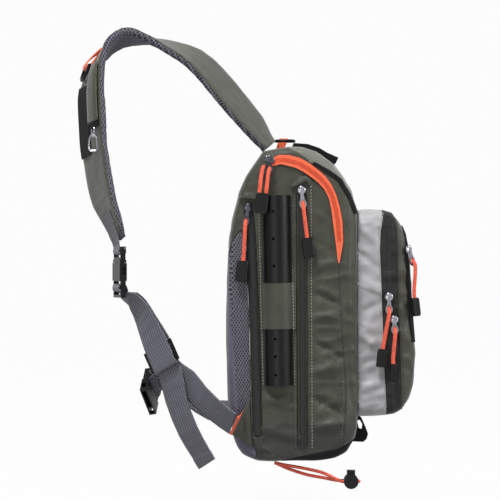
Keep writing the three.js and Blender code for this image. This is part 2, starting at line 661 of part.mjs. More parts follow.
function makeStrap() {
  const half = STRAP_WIDTH / 2;
  const top = STRAP_THICKNESS / 2;
  const seat = tapered(bodySolid(GAP));
  const padded = strapSections.map((section) => {
    const w = half * section.width;
    const base = top - STRAP_COVER - GAP;
    return [[-w + 2, -top], [w - 2, -top], [w, -top + 2.5], [w, base], [-w, base], [-w, -top + 2.5]]
      .map(([a, b]) => at(section, a, b));
  });
  add('strap_pad', solidOf(loft(padded)).subtract(seat), MESH_GREY);
  const cover = strapSections.map((section) => {
    const w = half * section.width;
    const base = top - STRAP_COVER;
    return [[w, base], [-w, base], [-w, base + 1], [-w + 2.5, top], [w - 2.5, top], [w, base + 1]]
      .map(([a, b]) => at(section, a, b));
  });
  add('strap_cover', solidOf(loft(cover)).subtract(seat), OLIVE, TWISTED_FLATNESS);
}

// Places along the chest side of the strap, as shares of its length from the arch
const chestSections = strapSections.filter((section) => section.centre.x < 0);
const chestLengths = chestSections.map(() => 0);
for (let i = 1; i < chestSections.length; i += 1) {
  chestLengths[i] = chestLengths[i - 1] + chestSections[i].centre.distanceTo(chestSections[i - 1].centre);
}

function chestAt(share) {
  const last = chestSections.length - 1;
  const length = share * chestLengths[last];
  const i = Math.min(last - 1, Math.max(0, chestLengths.findIndex((reached) => reached > length) - 1));
  const t = (length - chestLengths[i]) / (chestLengths[i + 1] - chestLengths[i]);
  const [a, b] = [chestSections[i], chestSections[i + 1]];
  const mix = (key) => a[key].clone().lerp(b[key], t);
  return {
    centre: mix('centre'),
    run: mix('run').normalize(),
    across: mix('across').normalize(),
    out: mix('out').normalize(),
    width: a.width + (b.width - a.width) * t,
  };
}

function chestRun(from, to, count) {
  return Array.from({ length: count + 1 }, (_, i) => chestAt(from + ((to - from) * i) / count));
}

// Webbing through rows, each a place with the direction of the webbing's width there
function webbing(rows, width, thickness, perRow = 2) {
  return solidOf(loft(webbingRings(rows, width, thickness, perRow)));
}

function webbingRings(rows, width, thickness, perRow) {
  const line = new THREE.CatmullRomCurve3(rows.map((row) => row.place), false, 'centripetal');
  const sides = new THREE.CatmullRomCurve3(rows.map((row) => row.across), false, 'catmullrom', 0.3);
  const count = (rows.length - 1) * perRow;
  return Array.from({ length: count + 1 }, (_, i) => {
    const centre = line.getPoint(i / count);
    const run = line.getTangent(i / count);
    const across = sides.getPoint(i / count);
    across.addScaledVector(run, -across.dot(run)).normalize().multiplyScalar(width / 2);
    const out = run.clone().cross(across).normalize().multiplyScalar(thickness / 2);
    return [[-1, -1], [1, -1], [1, 1], [-1, 1]].map(([a, b]) =>
      centre.clone().addScaledVector(across, a).addScaledVector(out, b));
  });
}

// A twisted webbing, joined from short convex lengths so that its bends don't cross themselves
function twistedWebbing(rows, width, thickness, perRow = 2) {
  const rings = webbingRings(rows, width, thickness, perRow);
  const lengths = rings.slice(1).map((ring, i) =>
    wasm.Manifold.hull([...rings[i], ...ring].map((point) => point.toArray())));
  return lengths.reduce((whole, length) => whole.add(length));
}

// A row at a section, moved along its run, across it and out from it
function rowAt(section, along, across, out) {
  return { place: at(section, across, out).addScaledVector(section.run, along), across: section.across };
}

// A frame with X across a section, Y out from it and Z against its run
function matrixOf(section) {
  const rise = section.run.clone().negate();
  return new THREE.Matrix4().makeBasis(section.across, section.out, rise).setPosition(section.centre);
}

// The strap filled up to a height over its outer face, to keep what lies on it clear
function strapBlock(lift) {
  const top = STRAP_THICKNESS / 2 + lift;
  const half = STRAP_WIDTH / 2;
  return solidOf(loft(strapSections.map((section) => [[1, -1], [-1, -1], [-1, 1], [1, 1]].map(([a, b]) =>
    at(section, a * (half * section.width + 1), b * top)))));
}

const onCover = strapBlock(GAP);

function makeStrapFittings() {
  const face = STRAP_THICKNESS / 2 + GAP;
  const half = STRAP_WIDTH / 2;
  const patch = strip(chestRun(0.31, 0.61, 8), 0.02 * half, 0.95 * half, face, face + SKIN);
  const lining = strip(chestRun(0.31, 0.51, 7), -0.9 * half, 0.06 * half, face, face + SKIN);
  add('strap_patch', patch.add(lining).subtract(onCover), BLACK_CLOTH);
  const low = face + SKIN + 2 * GAP;
  const high = low + SKIN;
  const cover = chestRun(0.23, 0.485, 7).map((section, i) => {
    const puff = i === 0 ? 0.6 : POCKET_PUFF;
    const outline = [[-0.93, low], [-0.04, low], [-0.04, high], [-0.25, high + puff], [-0.75,
      high + puff], [-0.93, high]];
    return outline.map(([a, b]) => at(section, a * half, b));
  });
  add('strap_pocket', solidOf(loft(cover)).subtract(onCover), OLIVE);
  makeStrapRing(face + GAP);
  makeClip(face);
}

// D-ring: its bar lies along the frame's X, and its bow reaches along the frame's -Z
function dRing(frame, width) {
  const half = width / 2;
  const turns = 8;
  const bow = Array.from({ length: turns + 1 }, (_, i) => {
    const turn = (i / turns) * Math.PI;
    const reach = DRING_DEPTH * width * Math.sin(turn) ** DRING_SQUARENESS;
    return new THREE.Vector3(half * Math.cos(turn), 0, -reach).applyMatrix4(frame);
  });
  return tube(bow, DRING_WIRE, 8, 14).add(rod(bow[0], bow[turns], DRING_WIRE, 8));
}

// Orange webbing sewn to the strap, round the bar of a black D-ring that lies on the strap
function makeStrapRing(face) {
  const reach = DRING_WIRE + GAP + WEBBING_THICKNESS / 2;
  const barOut = face + WEBBING_THICKNESS + GAP + DRING_WIRE;
  const bar = chestAt(RING_SHARE);
  const aside = RING_ASIDE * STRAP_WIDTH;
  const hung = { ...bar, centre: at(bar, aside, barOut) };
  add('strap_dring', dRing(matrixOf(hung), STRAP_DRING).subtract(onCover), BLACK_PLASTIC);
  const above = (i) => chestAt(RING_SHARE - 0.03 * i);
  const under = [3, 2, 1].map((i) => rowAt(above(i), 0, aside, face + WEBBING_THICKNESS / 2));
  const corner = 0.76 * reach;
  const turn = [[-reach, -reach], [0, -reach], [corner, -corner], [reach, 0], [corner, corner], [0,
    reach], [-reach, reach]]
    .map(([along, out]) => rowAt(bar, along, aside, barOut + out));
  const lay = face + 1.5 * WEBBING_THICKNESS + 2 * GAP;
  const over = [[1, reach], [2, reach / 2], [3, 0]].map(([i, lift]) => rowAt(above(i), 0, aside,
    lay + lift));
  add('strap_loop', webbing([...under, ...turn, ...over], RING_WEBBING,
    WEBBING_THICKNESS).subtract(onCover), ORANGE);
}

// The snap hook hangs from its swivel eye on an upright axis beside the strap pocket's mouth
const clipSection = chestAt(CLIP_SHARE);
const clipPlace = at(clipSection, CLIP_ASIDE * STRAP_WIDTH, STRAP_THICKNESS / 2 + CLIP_STANDOFF);
const clipPoint = (x, z) => new THREE.Vector3(clipPlace.x + x, clipPlace.y, clipPlace.z + z);

function makeClip(face) {
  const ring = new THREE.TorusGeometry(EYE_RADIUS, RING_WIRE, 8, 16);
  ring.rotateX(Math.PI / 2);
  ring.rotateZ(Math.atan2(clipSection.across.y, clipSection.across.x));
  ring.translate(clipPlace.x, clipPlace.y, clipPlace.z);
  const ringFoot = -EYE_RADIUS - RING_WIRE;
  const collarTop = ringFoot - GAP;
  const collarFoot = collarTop - COLLAR_HEIGHT;
  const headTop = collarFoot - GAP;
  const headFoot = headTop - RING_WIRE;
  const stem = rod(clipPoint(0, ringFoot + RING_WIRE), clipPoint(0, headTop), STEM_RADIUS, 12);
  const head = rod(clipPoint(0, headTop), clipPoint(0, headFoot), 1.55 * STEM_RADIUS, 12);
  add('swivel_eye', solidOf(ring).add(stem).add(head), STEEL);

  const bore = rod(clipPoint(0, collarTop + 1), clipPoint(0, collarFoot - 1), STEM_RADIUS + GAP, 12);
  const collar = rod(clipPoint(0, collarTop), clipPoint(0, collarFoot), COLLAR_RADIUS, 14).subtract(bore);
  const side = HOOK_WIDTH / 2 - RING_WIRE;
  const shoulder = collarFoot + RING_WIRE;
  const foot = collarTop - HOOK_HEIGHT + RING_WIRE;
  const tip = foot + HOOK_TIP;
  const nose = headFoot - RING_WIRE;
  const bow = [[-COLLAR_RADIUS + 0.2, shoulder], [-0.84 * side, nose], [-0.95 * side, foot + 3],
    [-0.75 * side, foot + 0.4],
    [0, foot], [0.75 * side, foot + 0.4], [side, foot + 3], [side, tip]];
  const stub = [[COLLAR_RADIUS - 0.2, shoulder], [0.78 * side, nose + 1.2], [0.86 * side, nose]];
  const wire = tube(bow.map(([x, z]) => clipPoint(x, z)), RING_WIRE, 6, 14);
  const upper = tube(stub.map(([x, z]) => clipPoint(x, z)), RING_WIRE, 6, 3);
  add('snap_hook', collar.add(wire).add(upper), STEEL);
  const gateFoot = clipPoint(side, tip + GAP + 0.1);
  const gateTop = clipPoint(0.87 * side, nose - 2 * GAP);
  add('hook_gate', rod(gateFoot, gateTop, GATE_WIRE, 8), STEEL);

  // Webbing tab from the strap's face, down through the eye and back
  const wrap = RING_WIRE + GAP + TAB_THICKNESS / 2;
  const inner = face + SKIN + GAP - STRAP_THICKNESS / 2 - CLIP_STANDOFF + TAB_THICKNESS / 2;
  const outer = inner + TAB_THICKNESS + GAP;
  const top = EYE_RADIUS;
  const low = top - wrap;
  const tabRows = [[top + 8, inner], [top + 6, inner], [top + 3, -wrap - 0.8], [top, -wrap], [low,
    -0.8 * wrap], [low - 0.6, 0],
    [low, 0.8 * wrap], [top, wrap], [top + 3, wrap + 0.3], [top + 6, outer + 1], [top + 8, outer]];
  const tab = tabRows.map(([z, out]) => ({
    place: clipPoint(0, z).addScaledVector(clipSection.out, out),
    across: clipSection.across,
  }));
  add('clip_tab', webbing(tab, TAB_WIDTH, TAB_THICKNESS).subtract(onCover), BLACK_CLOTH);
}

// Side-release buckle under the strap's end. Its female half's frame has X across, Y out and Z up
// from the mouth
const strapEnd = strapSections[strapSections.length - 1];
const buckleTop = strapEnd.centre.clone().add(new THREE.Vector3(0, 0, -BUCKLE_DROP));
const buckleSection = frameOf(buckleTop, UP.clone().negate(), BUCKLE_TILT, 0, 1);
const MALE_RISE = 0.28 * BUCKLE_LENGTH;
const SHELL_DEPTH = 0.37 * BUCKLE_LENGTH;
const LADDER_DEPTH = BUCKLE_LENGTH - MALE_RISE - SHELL_DEPTH;
const LADDER_THICKNESS = 0.7 * BUCKLE_THICKNESS;
const LADDER_SLOT = (LADDER_DEPTH - 2.2 * BAR) / 2;
const SLOT_WIDTH = WEBBING + 2;
const upperSlot = SHELL_DEPTH + 0.2 * BAR + LADDER_SLOT / 2;
const lowerSlot = SHELL_DEPTH + LADDER_DEPTH - BAR - LADDER_SLOT / 2;
const mouthSection = {
  ...buckleSection, centre: buckleSection.centre.clone().addScaledVector(buckleSection.run, MALE_RISE),
};

function femaleBuckle(frame) {
  const block = (...sizes) => box(...sizes, frame);
  const mouth = BUCKLE_THICKNESS - 2 * BUCKLE_WALL;
  let half = block(BUCKLE_WIDTH, BUCKLE_THICKNESS, SHELL_DEPTH, 0, 0, -SHELL_DEPTH / 2);
  half = half.subtract(block(BUCKLE_WIDTH - 3 * BUCKLE_WALL, mouth, 1.5 * SHELL_DEPTH, 0, 0, 0));
  for (const side of [-1, 1]) {
    const edge = (side * BUCKLE_WIDTH) / 2;
    half = half.subtract(block(4 * BUCKLE_WALL, mouth, 0.4 * SHELL_DEPTH, edge, 0, -0.45 * SHELL_DEPTH));
  }
  half = half.add(block(BUCKLE_WIDTH, LADDER_THICKNESS, LADDER_DEPTH + 1, 0, 0,
    0.5 - SHELL_DEPTH - LADDER_DEPTH / 2));
  for (const slot of [upperSlot, lowerSlot]) {
    half = half.subtract(block(SLOT_WIDTH, 2 * BUCKLE_THICKNESS, LADDER_SLOT, 0, 0, -slot));
  }
  return half;
}

// Webbing behind the ladder, out through its upper slot, over its bar and in through the lower one
function ladderTurn(section) {
  const clear = LADDER_THICKNESS / 2 + GAP + WEBBING_THICKNESS / 2;
  const behind = -clear - WEBBING_THICKNESS - 4 * GAP;
  const away = lowerSlot + 0.7 * LADDER_SLOT;
  const turn = [[away, behind], [lowerSlot, behind], [upperSlot + 2, -clear], [upperSlot, 0],
    [upperSlot + 2, clear],
    [lowerSlot - 2, clear], [lowerSlot - 0.5, 0], [lowerSlot + 1.6, -clear], [away, -clear - GAP]];
  return turn.map(([along, out]) => rowAt(section, along, 0, out));
}

function makeBuckle() {
  const frame = matrixOf(mouthSection);
  const block = (...sizes) => box(...sizes, frame);
  add('buckle_female', femaleBuckle(frame), BLACK_PLASTIC);
  const wide = BUCKLE_WIDTH - 3;
  const slot = SLOT_WIDTH;
  const lip = 4;
  let male = block(wide, LADDER_THICKNESS, MALE_RISE - GAP, 0, 0, (MALE_RISE + GAP) / 2);
  male = male.add(block(BUCKLE_WIDTH - 2, BUCKLE_THICKNESS - 1, lip, 0, 0, lip / 2 + GAP));
  male = male.subtract(block(slot, 2 * BUCKLE_THICKNESS, MALE_SLOT, 0, 0, MALE_RISE - BAR - MALE_SLOT / 2));
  const prong = 0.72 * SHELL_DEPTH;
  const thin = BUCKLE_THICKNESS - 2 * BUCKLE_WALL - 1;
  for (const side of [-1, 1]) {
    male = male.add(block(5, thin, prong + 1, side * (wide / 2 - 5), 0, 1 - prong / 2));
    male = male.add(block(4, thin, 5, side * (wide / 2 - 3), 0, 6.5 - prong));
  }
  add('buckle_male', male, BLACK_PLASTIC);

  // Grey webbing sewn to the strap's face, down through the male half and back up behind
  const face = STRAP_THICKNESS / 2 + GAP + WEBBING_THICKNESS / 2;
  const onStrap = [0.875, 0.92, 0.955, 0.985].map((share) => rowAt(chestAt(share), 0, 0, face));
  const clear = LADDER_THICKNESS / 2 + GAP + WEBBING_THICKNESS / 2;
  const pierce = BAR + MALE_SLOT / 2;
  const turn = BAR + 1.2;
  const through = [[-3, clear - 0.6], [1, clear], [turn, clear], [pierce, 0], [turn, -clear], [1,
    -clear], [-4, -clear]];
  const turned = through.map(([along, out]) => rowAt(buckleSection, along, 0, out));
  const sewn = webbing([...onStrap, ...turned], MALE_WEBBING, WEBBING_THICKNESS);
  add('strap_webbing', sewn.subtract(onCover), WEB_GREY);
}

// Wings: a corner is a share of the body's depth and height, and a flare is a distance from the side
const wingPoint = ([u, v], flare) =>
  new THREE.Vector3(bodyX(u), -halfWidthAt(bodyZ(v)) - GAP - flare, bodyZ(v));
const pipingTop = wingPoint([0.096, 0.146], WING_FLARE);
const pipingFoot = wingPoint([0.034, 0.088], 0.1 * WING_FLARE);

// Lower webbing from the buckle's foot to the near wing: shares of the reach, the drop and the swing
// towards -Y, and the tilt in degrees
const WEB_ROWS = [
  [0.085, 0.055, 0.06, 33], [0.14, 0.11, 0.11, 39], [0.2, 0.21, 0.2, 46], [0.266, 0.366, 0.3, 56],
  [0.341, 0.48, 0.4, 62], [0.443, 0.586, 0.5, 62], [0.548, 0.683, 0.6, 60], [0.68, 0.8, 0.74, 54],
  [0.883, 0.937, 0.92, 49], [0.98, 0.987, 0.99, 49],
];
const GLIDE_ROW = 4;
const WING_ROW = 9;
const webFoot = at(mouthSection, 0, -LADDER_THICKNESS)
  .addScaledVector(mouthSection.run, SHELL_DEPTH + 0.8 * LADDER_DEPTH);
const webSpan = pipingTop.clone().lerp(pipingFoot, 0.5).sub(webFoot);
const webSections = sections(WEB_ROWS.map(([reach, drop, swing, tilt]) => ({
  place: webSpan.clone().multiply(new THREE.Vector3(reach, swing, drop)).add(webFoot), tilt, lift: 0,
    width: 1,
})), 1);
const glideRun = webSections[GLIDE_ROW].centre.clone().sub(webSections[GLIDE_ROW - 2].centre).normalize();
const glide = frameOf(webSections[GLIDE_ROW].centre, glideRun, WEB_ROWS[GLIDE_ROW][3], 0, 1);

// Distances out from the tri-glide of the turned strand, the tail behind it and the rear strand
const ply = WEBBING_THICKNESS + 2 * GAP;
const overGlide = GLIDE_THICKNESS / 2 + GAP + WEBBING_THICKNESS / 2;
const tailOut = -overGlide - ply;
const rearOut = -overGlide - 2 * ply;

function makeLowerWebbing() {
  const lifted = (i, lift) => rowAt(webSections[i], 0, 0, lift);
  const reach = GLIDE_LENGTH / 2;
  const fromWing = [[9, 0], [8, -1.5], [7, -4], [6, -7]].map(([i, lift]) => lifted(i, lift));
  const behind = [1.35 * reach, 0, -1.35 * reach].map((along) => rowAt(glide, along, 0, rearOut));
  const rise = [2, 1, 0].map((i) => lifted(i, -0.75 * ply));
  const fall = [0, 1, 2].map((i) => lifted(i, 0.75 * ply));
  const round = [[-1.3 * reach, overGlide], [0, overGlide], [reach + 1, overGlide],
    [reach + 1.2 * overGlide, 0],
    [reach + 1, -overGlide], [reach - 6, -overGlide]].map(([along, out]) => rowAt(glide, along, 0, out));
  const rows = [...fromWing, ...behind, ...rise, ...ladderTurn(mouthSection), ...fall, ...round];
  add('webbing_main', webbing(rows, WEBBING, WEBBING_THICKNESS), WEB_GREY);

  const slot = (GLIDE_LENGTH - 3 * BAR) / 2;
  let frame = box(GLIDE_WIDTH, GLIDE_THICKNESS, GLIDE_LENGTH, 0, 0, 0, matrixOf(glide));
  for (const side of [-1, 1]) {
    const middle = (side * (slot + BAR)) / 2;
    frame = frame.subtract(box(SLOT_WIDTH, 2 * GLIDE_THICKNESS, slot, 0, 0, middle, matrixOf(glide)));
  }
  add('tri_glide', frame, BLACK_PLASTIC);

  // Free end: shares of its drop for the reach and the swing towards -Y, and the tilt
  const tailRows = [[0.12, 0.4, 0.05, 52], [0.235, 0.7, 0.08, 48], [0.357, 0.91, 0.1, 44], [0.41, 1,
    0.11, 42]];
  const hanging = sections(tailRows.map(([ahead, drop, swing, tilt]) => ({
    place: new THREE.Vector3(ahead, -swing, -drop).multiplyScalar(TAIL_DROP).add(at(glide, 0, tailOut)),
    tilt, lift: 0, width: 1,
  })), 1).map((section) => rowAt(section, 0, 0, 0));
  const hidden = [0.25, 1, 1.6].map((share) => rowAt(glide, share * reach, 0, tailOut));
  add('webbing_tail', webbing([...hidden, ...hanging], WEBBING, WEBBING_THICKNESS), WEB_GREY);
}

const mirrored = (solid) => solid.scale([1, -1, 1]);

function makeWings() {
  const seam = [wingPoint([0.176, 0.19], 0), wingPoint([0.195, 0.045], 0)];
  const tip = [pipingTop, pipingFoot];
  const middle = seam.map((point, i) => point.clone().lerp(tip[i], 0.5).add(new THREE.Vector3(0, 1.5, 0)));
  for (const point of middle) {
    point.y = Math.min(point.y, -halfWidthAt(point.z) - GAP);
  }
  const out = new THREE.Vector3(0, -WING_THICKNESS, 0);
  const ring = ([a, b]) => [a, b, b.clone().add(out), a.clone().add(out)];
  const edge = rod(pipingTop, pipingFoot, PIPING_RADIUS, 8);
  const wing = solidOf(loft([ring(seam), ring(middle), ring(tip)])).add(edge);
  add('wing_near', wing, OLIVE);
  add('wing_far', mirrored(wing), OLIVE);
}

// Far webbing from the far wing to the bar of a spare female buckle half, and over the bar
function makeFarWebbing() {
  const root = webSections[WING_ROW].centre.clone();
  root.y = -root.y;
  const away = new THREE.Vector3(-FAR_REACH, -FAR_SWING, FAR_RISE);
  const down = new THREE.Vector3(-0.1, -0.79, -0.6).normalize();
  const hung = frameOf(root.clone().add(away), down, FAR_TILT, 0, 1);
  // The spare half hangs from its ladder with its mouth down
  const spare = {
    centre: hung.centre.clone().addScaledVector(down, SHELL_DEPTH + LADDER_DEPTH),
    run: down.clone().negate(),
    across: hung.across.clone().negate(),
    out: hung.out,
  };
  add('buckle_spare', femaleBuckle(matrixOf(spare)), BLACK_PLASTIC);
  const level = webSections[WING_ROW].across.clone();
  level.set(-level.x, level.y, -level.z);
  const turned = ladderTurn(spare).slice(0, 8).map((row) => ({ place: row.place, across: hung.across }));
  const way = [[0.04, 0.02, 0.03], [0.3, 0.1, 0.15], [0.62, 0.5, 0.5], [0.86, 1.1, 0.85]].map(([reach,
    rise, turn]) => ({
    place: root.clone().add(away.clone().multiply(new THREE.Vector3(reach, reach, rise))),
    across: level.clone().lerp(hung.across, turn).normalize(),
  }));
  add('webbing_far', twistedWebbing([...way, ...turned], WEBBING, WEBBING_THICKNESS), WEB_GREY);
}

// Orange loop on top, round the bar of a D-ring that lies level
function makeTopLoop() {
  const foot = new THREE.Vector3(bodyX(0.405), 0, bodyZ(0.985));
  const bar = foot.clone().add(new THREE.Vector3(0.35 * TOP_LOOP_HEIGHT, 0, TOP_LOOP_HEIGHT));
  const reach = DRING_WIRE + GAP + WEBBING_THICKNESS / 2;
  const lean = bar.clone().sub(foot).normalize();
  const ringSeat = { centre: bar.clone().add(new THREE.Vector3(0.12 * TOP_DRING, 0, 0)),
    across: new THREE.Vector3(1, 0, 0) };
  const flat = new THREE.Matrix4().makeBasis(ringSeat.across, UP.clone().negate(), ACROSS);
  add('top_dring', dRing(flat.setPosition(ringSeat.centre), TOP_DRING), BLACK_PLASTIC);
  const sidePly = WEBBING_THICKNESS / 2 + GAP;
  const side = [[-1.3 * TOP_LOOP_HEIGHT, sidePly], [-2 * reach, reach], [0, reach], [0.76 * reach,
    0.76 * reach]];
  const wide = new THREE.Vector3(1, 0, 0);
  const row = ([rise, y]) => ({ place: bar.clone().addScaledVector(lean, rise).setY(y), across: wide });
  const rows = [...side.map(([rise, y]) => row([rise, -y])), row([reach, 0]), ...side.map(row).reverse()];
  add('top_loop', webbing(rows, TOP_LOOP_WIDTH, WEBBING_THICKNESS).subtract(bodySolid(GAP)), ORANGE);
}

// Zip pulls. Each has a slider with a tab, an orange cord through the tab's hole and a black grip
const pocketHalfAt = (z) => (halfWidthAt(z) * POCKET_WIDTH) / BODY_WIDTH;
const sideways = (half) => (x, z, out) => new THREE.Vector3(x, -half(z) - out, z);
const onPanel = sideways(halfWidthAt);
const onPocketSide = sideways(pocketHalfAt);
const onPocketFront = (x, z, out) => {
  const aside = out * Math.sin(FRONT_PULL_TURN * RAD);
  return new THREE.Vector3(x + out * Math.cos(FRONT_PULL_TURN * RAD),
    FRONT_PULL_PLACE * pocketHalfAt(z) - aside, z);
};

// The hole, the cord's end and the grip's end are shares of the pull's reach: forward, then down
const PULLS = [
  { name: 'main', seat: [bodyX(0.327), bodyZ(0.957)], spot: onPanel, low: ZIP_PROUD + 2 * GAP,
    wide: 18.5, cords: [-4.6, 4.6],
    hole: [-0.04, 0.12], end: [-0.09, 0.46], foot: [-0.122, 0.735], grip: 18, look: GUNMETAL, stand: 17.5 },
  { name: 'back', seat: [bodyX(0.165), bodyZ(0.805)], spot: onPanel, low: COIL_PROUD + 2 * GAP, wide: 9,
    cords: [0],
    hole: [-0.03, 0.19], end: [-0.067, 0.727], foot: [-0.1, 1.01], grip: 16.6, look: GUNMETAL },
  { name: 'mid', seat: [bodyX(0.572), bodyZ(0.86)], spot: onPanel, low: COIL_PROUD + 2 * GAP, wide: 9,
    cords: [0],
    hole: [0.02, 0.19], end: [0.075, 0.65], foot: [0.11, 0.92], grip: 16, look: STEEL },
  { name: 'pocket_a', seat: [pocketX(0.54), pocketZ(0.58)], spot: onPocketSide, low: GAP, wide: 8.4,
    cords: [0],
    hole: [0.0, 0.17], end: [-0.085, 0.71], foot: [-0.11, 0.955], grip: 15, look: STEEL },
  { name: 'pocket_b', seat: [pocketX(0.625), pocketZ(0.47)], spot: onPocketSide, low: GAP, wide: 8.4,
    cords: [0],
    hole: [0.01, 0.135], end: [-0.015, 0.6], foot: [-0.012, 0.82], grip: 9, look: STEEL },
  { name: 'front', seat: [pocketX(0.835), pocketZ(0.81)], spot: onPocketFront, low: SKIN + 5 * GAP,
    wide: 9, cords: [0],
    hole: [0.03, 0.16], end: [0.045, 0.66], foot: [0.07, 0.91], grip: 13.5, look: STEEL },
];

function makePull({ name, seat, spot, low, wide, cords, hole, end, foot, grip, look, stand }) {
  const place = ([ahead, drop], out) => spot(seat[0] + ahead * PULL_REACH, seat[1] - drop * PULL_REACH,
    out);
  // Axes of a flat piece that hangs between two places: across it, out from the bag and up
  const frameBetween = (top, bottom) => {
    const up = top.clone().sub(bottom).normalize();
    const outwards = spot(seat[0], seat[1], 1).sub(spot(seat[0], seat[1], 0));
    const across = outwards.clone().cross(up).normalize();
    return new THREE.Matrix4().makeBasis(across, up.clone().cross(across), up).setPosition(top);
  };
  const tabOut = low + SLIDER_THICKNESS + TAB_PLATE / 2;
  const [seatPlace, holePlace] = [place([0, 0], tabOut), place(hole, tabOut)];
  const tabFrame = frameBetween(seatPlace, holePlace);
  const holeDrop = seatPlace.distanceTo(holePlace);
  const half = PULL_CORD / 2 + GAP;
  const slotHeight = 2.1 * PULL_CORD;
  const tabLength = holeDrop + slotHeight / 2 + 2 * TAB_PLATE;
  const slotWide = cords.length > 1 ? 2 * (cords[1] + half) : 2 * half;
  const upright = frameBetween(place([0, 0], 0), place([0, 0.1], 0));
  let slider = box(SLIDER_WIDTH, SLIDER_THICKNESS, SLIDER_HEIGHT, 0, low + SLIDER_THICKNESS / 2, 0,
    upright);
  slider = slider.add(box(wide, TAB_PLATE + 0.2, tabLength + 2, 0, -0.1, 1 - tabLength / 2, tabFrame));
  slider = slider.subtract(box(slotWide, 4 * TAB_PLATE, slotHeight, 0, 0, -holeDrop, tabFrame));
  add(`slider_${name}`, slider, look);

  const hang = stand ?? tabOut + PULL_CORD / 2;
  const endPlace = place(end, hang);
  const footPlace = place(foot, hang);
  const gripFrame = frameBetween(endPlace, footPlace);
  const gripLength = endPlace.distanceTo(footPlace);
  const spread = cords.length > 1 ? grip / 4 : 0;
  cords.forEach((aside, i) => {
    const side = Math.sign(aside);
    const [above, mouth, inGrip] = [1.6 * PULL_CORD, 0, -0.8 * BORE_DEPTH].map((rise) =>
      new THREE.Vector3(side * spread, 0, rise).applyMatrix4(gripFrame));
    const start = [[aside, -0.75 * PULL_CORD, 0.9 * PULL_CORD], [aside, 0, 0], [aside, 0.85 * PULL_CORD,
      -1.05 * PULL_CORD]]
      .map(([a, out, up]) => new THREE.Vector3(a, out, up - holeDrop).applyMatrix4(tabFrame));
    const label = cords.length > 1 ? `pull_${name}_${i + 1}` : `pull_${name}`;
    add(label, tube([...start, above, mouth, inGrip], PULL_CORD / 2, 8, 9), ORANGE);
  });
  const outline = rounded(grip, GRIP_THICKNESS, GRIP_THICKNESS / 3).getPoints(2);
  const shares = [[0, 0.8], [-0.12, 0.97], [-0.9, 1], [-1, 0.8]];
  const rings = shares.map(([rise, size]) => outline.slice(0, -1).map((p) =>
    new THREE.Vector3(p.x * size, p.y * size, rise * gripLength).applyMatrix4(gripFrame)));
  let body = solidOf(loft(rings));
  for (const aside of cords) {
    const bore = new THREE.Vector3(Math.sign(aside) * spread, 0, 2).applyMatrix4(gripFrame);
    const floor = new THREE.Vector3(Math.sign(aside) * spread, 0, -BORE_DEPTH).applyMatrix4(gripFrame);
    body = body.subtract(rod(bore, floor, half, 8));
  }
  add(`grip_${name}`, body, BLACK_PLASTIC);
}

// Rod butt loop: an elastic cord from the bag, through a cord lock and back. Shares of the loop's
// reach and drop, and of the distance between its strands
const LOOP_OUT = [[0.0, 0.0, 0.35], [0.12, 0.1, 0.5], [0.4, 0.3, 0.8], [0.64, 0.54, 1], [0.8, 0.86, 1],
  [0.89, 1, 1], [0.97, 1, 1]];
const LOOP_BACK = [[0.97, 1, 1], [0.89, 1, 1], [0.8, 0.97, 1], [0.64, 0.84, 1], [0.42, 0.66, 0.8], [0.16,
  0.3, 0.5], [0.02, 0.03, 0.35]];

function makeRodLoop() {
  const start = new THREE.Vector3(bodyX(0.365), -LOOP_PLACE * BODY_WIDTH, BODY_BOTTOM - 0.76 * SHOCK_CORD);
  const point = (side) => ([reach, drop, apart]) =>
    start.clone().add(new THREE.Vector3(reach * LOOP_REACH, (-side * apart * STRAND_GAP) / 2,
      -drop * LOOP_DROP));
  const lock = point(0)([1, 1, 0]);
  const turns = [70, 35, 0, -35, -70].map((turn) => lock.clone().add(new THREE.Vector3(
    (STRAND_GAP / 2) * Math.cos(turn * RAD) + LOCK_RADIUS - STRAND_GAP / 2 + 1,
      (-STRAND_GAP / 2) * Math.sin(turn * RAD), 0)));
  const route = [...LOOP_OUT.map(point(1)), ...turns, ...LOOP_BACK.map(point(-1))];
  add('shock_cord', tube(route, SHOCK_CORD / 2, 8, 36), ORANGE);

  const ends = [-1, 1].map((side) => lock.clone().add(new THREE.Vector3(0, (side * LOCK_LENGTH) / 2, 0)));
  const slot = SHOCK_CORD + 2 * GAP;
  const wide = STRAND_GAP + slot;
  const buttonWide = LOCK_RADIUS * 1.1;
  const buttonLong = LOCK_LENGTH * 0.6;
  const wellFoot = slot / 2 + 1.2;
  let barrel = rod(ends[0], ends[1], LOCK_RADIUS, 24);
  barrel = barrel.subtract(box(4 * LOCK_RADIUS, wide, slot, lock.x, lock.y, lock.z));
  const well = 2 * LOCK_RADIUS;
  barrel = barrel.subtract(box(buttonWide + 2 * GAP, buttonLong + 2 * GAP, well, lock.x, lock.y,
    lock.z + wellFoot + well / 2));
  add('cord_lock', barrel, BLACK_PLASTIC);
  const foot = wellFoot + LOCK_TRAVEL + GAP;
  const tall = LOCK_RADIUS + BUTTON_PROUD - foot;
  add('lock_button', box(buttonWide, buttonLong, tall, lock.x, lock.y, lock.z + foot + tall / 2),
    BLACK_PLASTIC);
}

makeBody();
makeZips();
makeTopTrim();
makeRodTube();
makePocket();
makeFrontLoop();
makeTopLoop();
makeStrap();
makeStrapFittings();
makeBuckle();
makeLowerWebbing();
makeWings();
makeFarWebbing();
PULLS.forEach(makePull);
makeRodLoop();

export default bag;
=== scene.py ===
"""Looks of a fishing tackle sling bag: cloth skins, mesh pads, zips, seams, cords and light.

Metres, in the same frame as the solids: +Z up, +X from the back pad to the front pocket,
-Y the side with the rod tube, the origin under the strap's arch.
"""
import math
from collections import namedtuple

import bmesh
import bpy
from mathutils import Matrix, Vector, noise
from mathutils.bvhtree import BVHTree


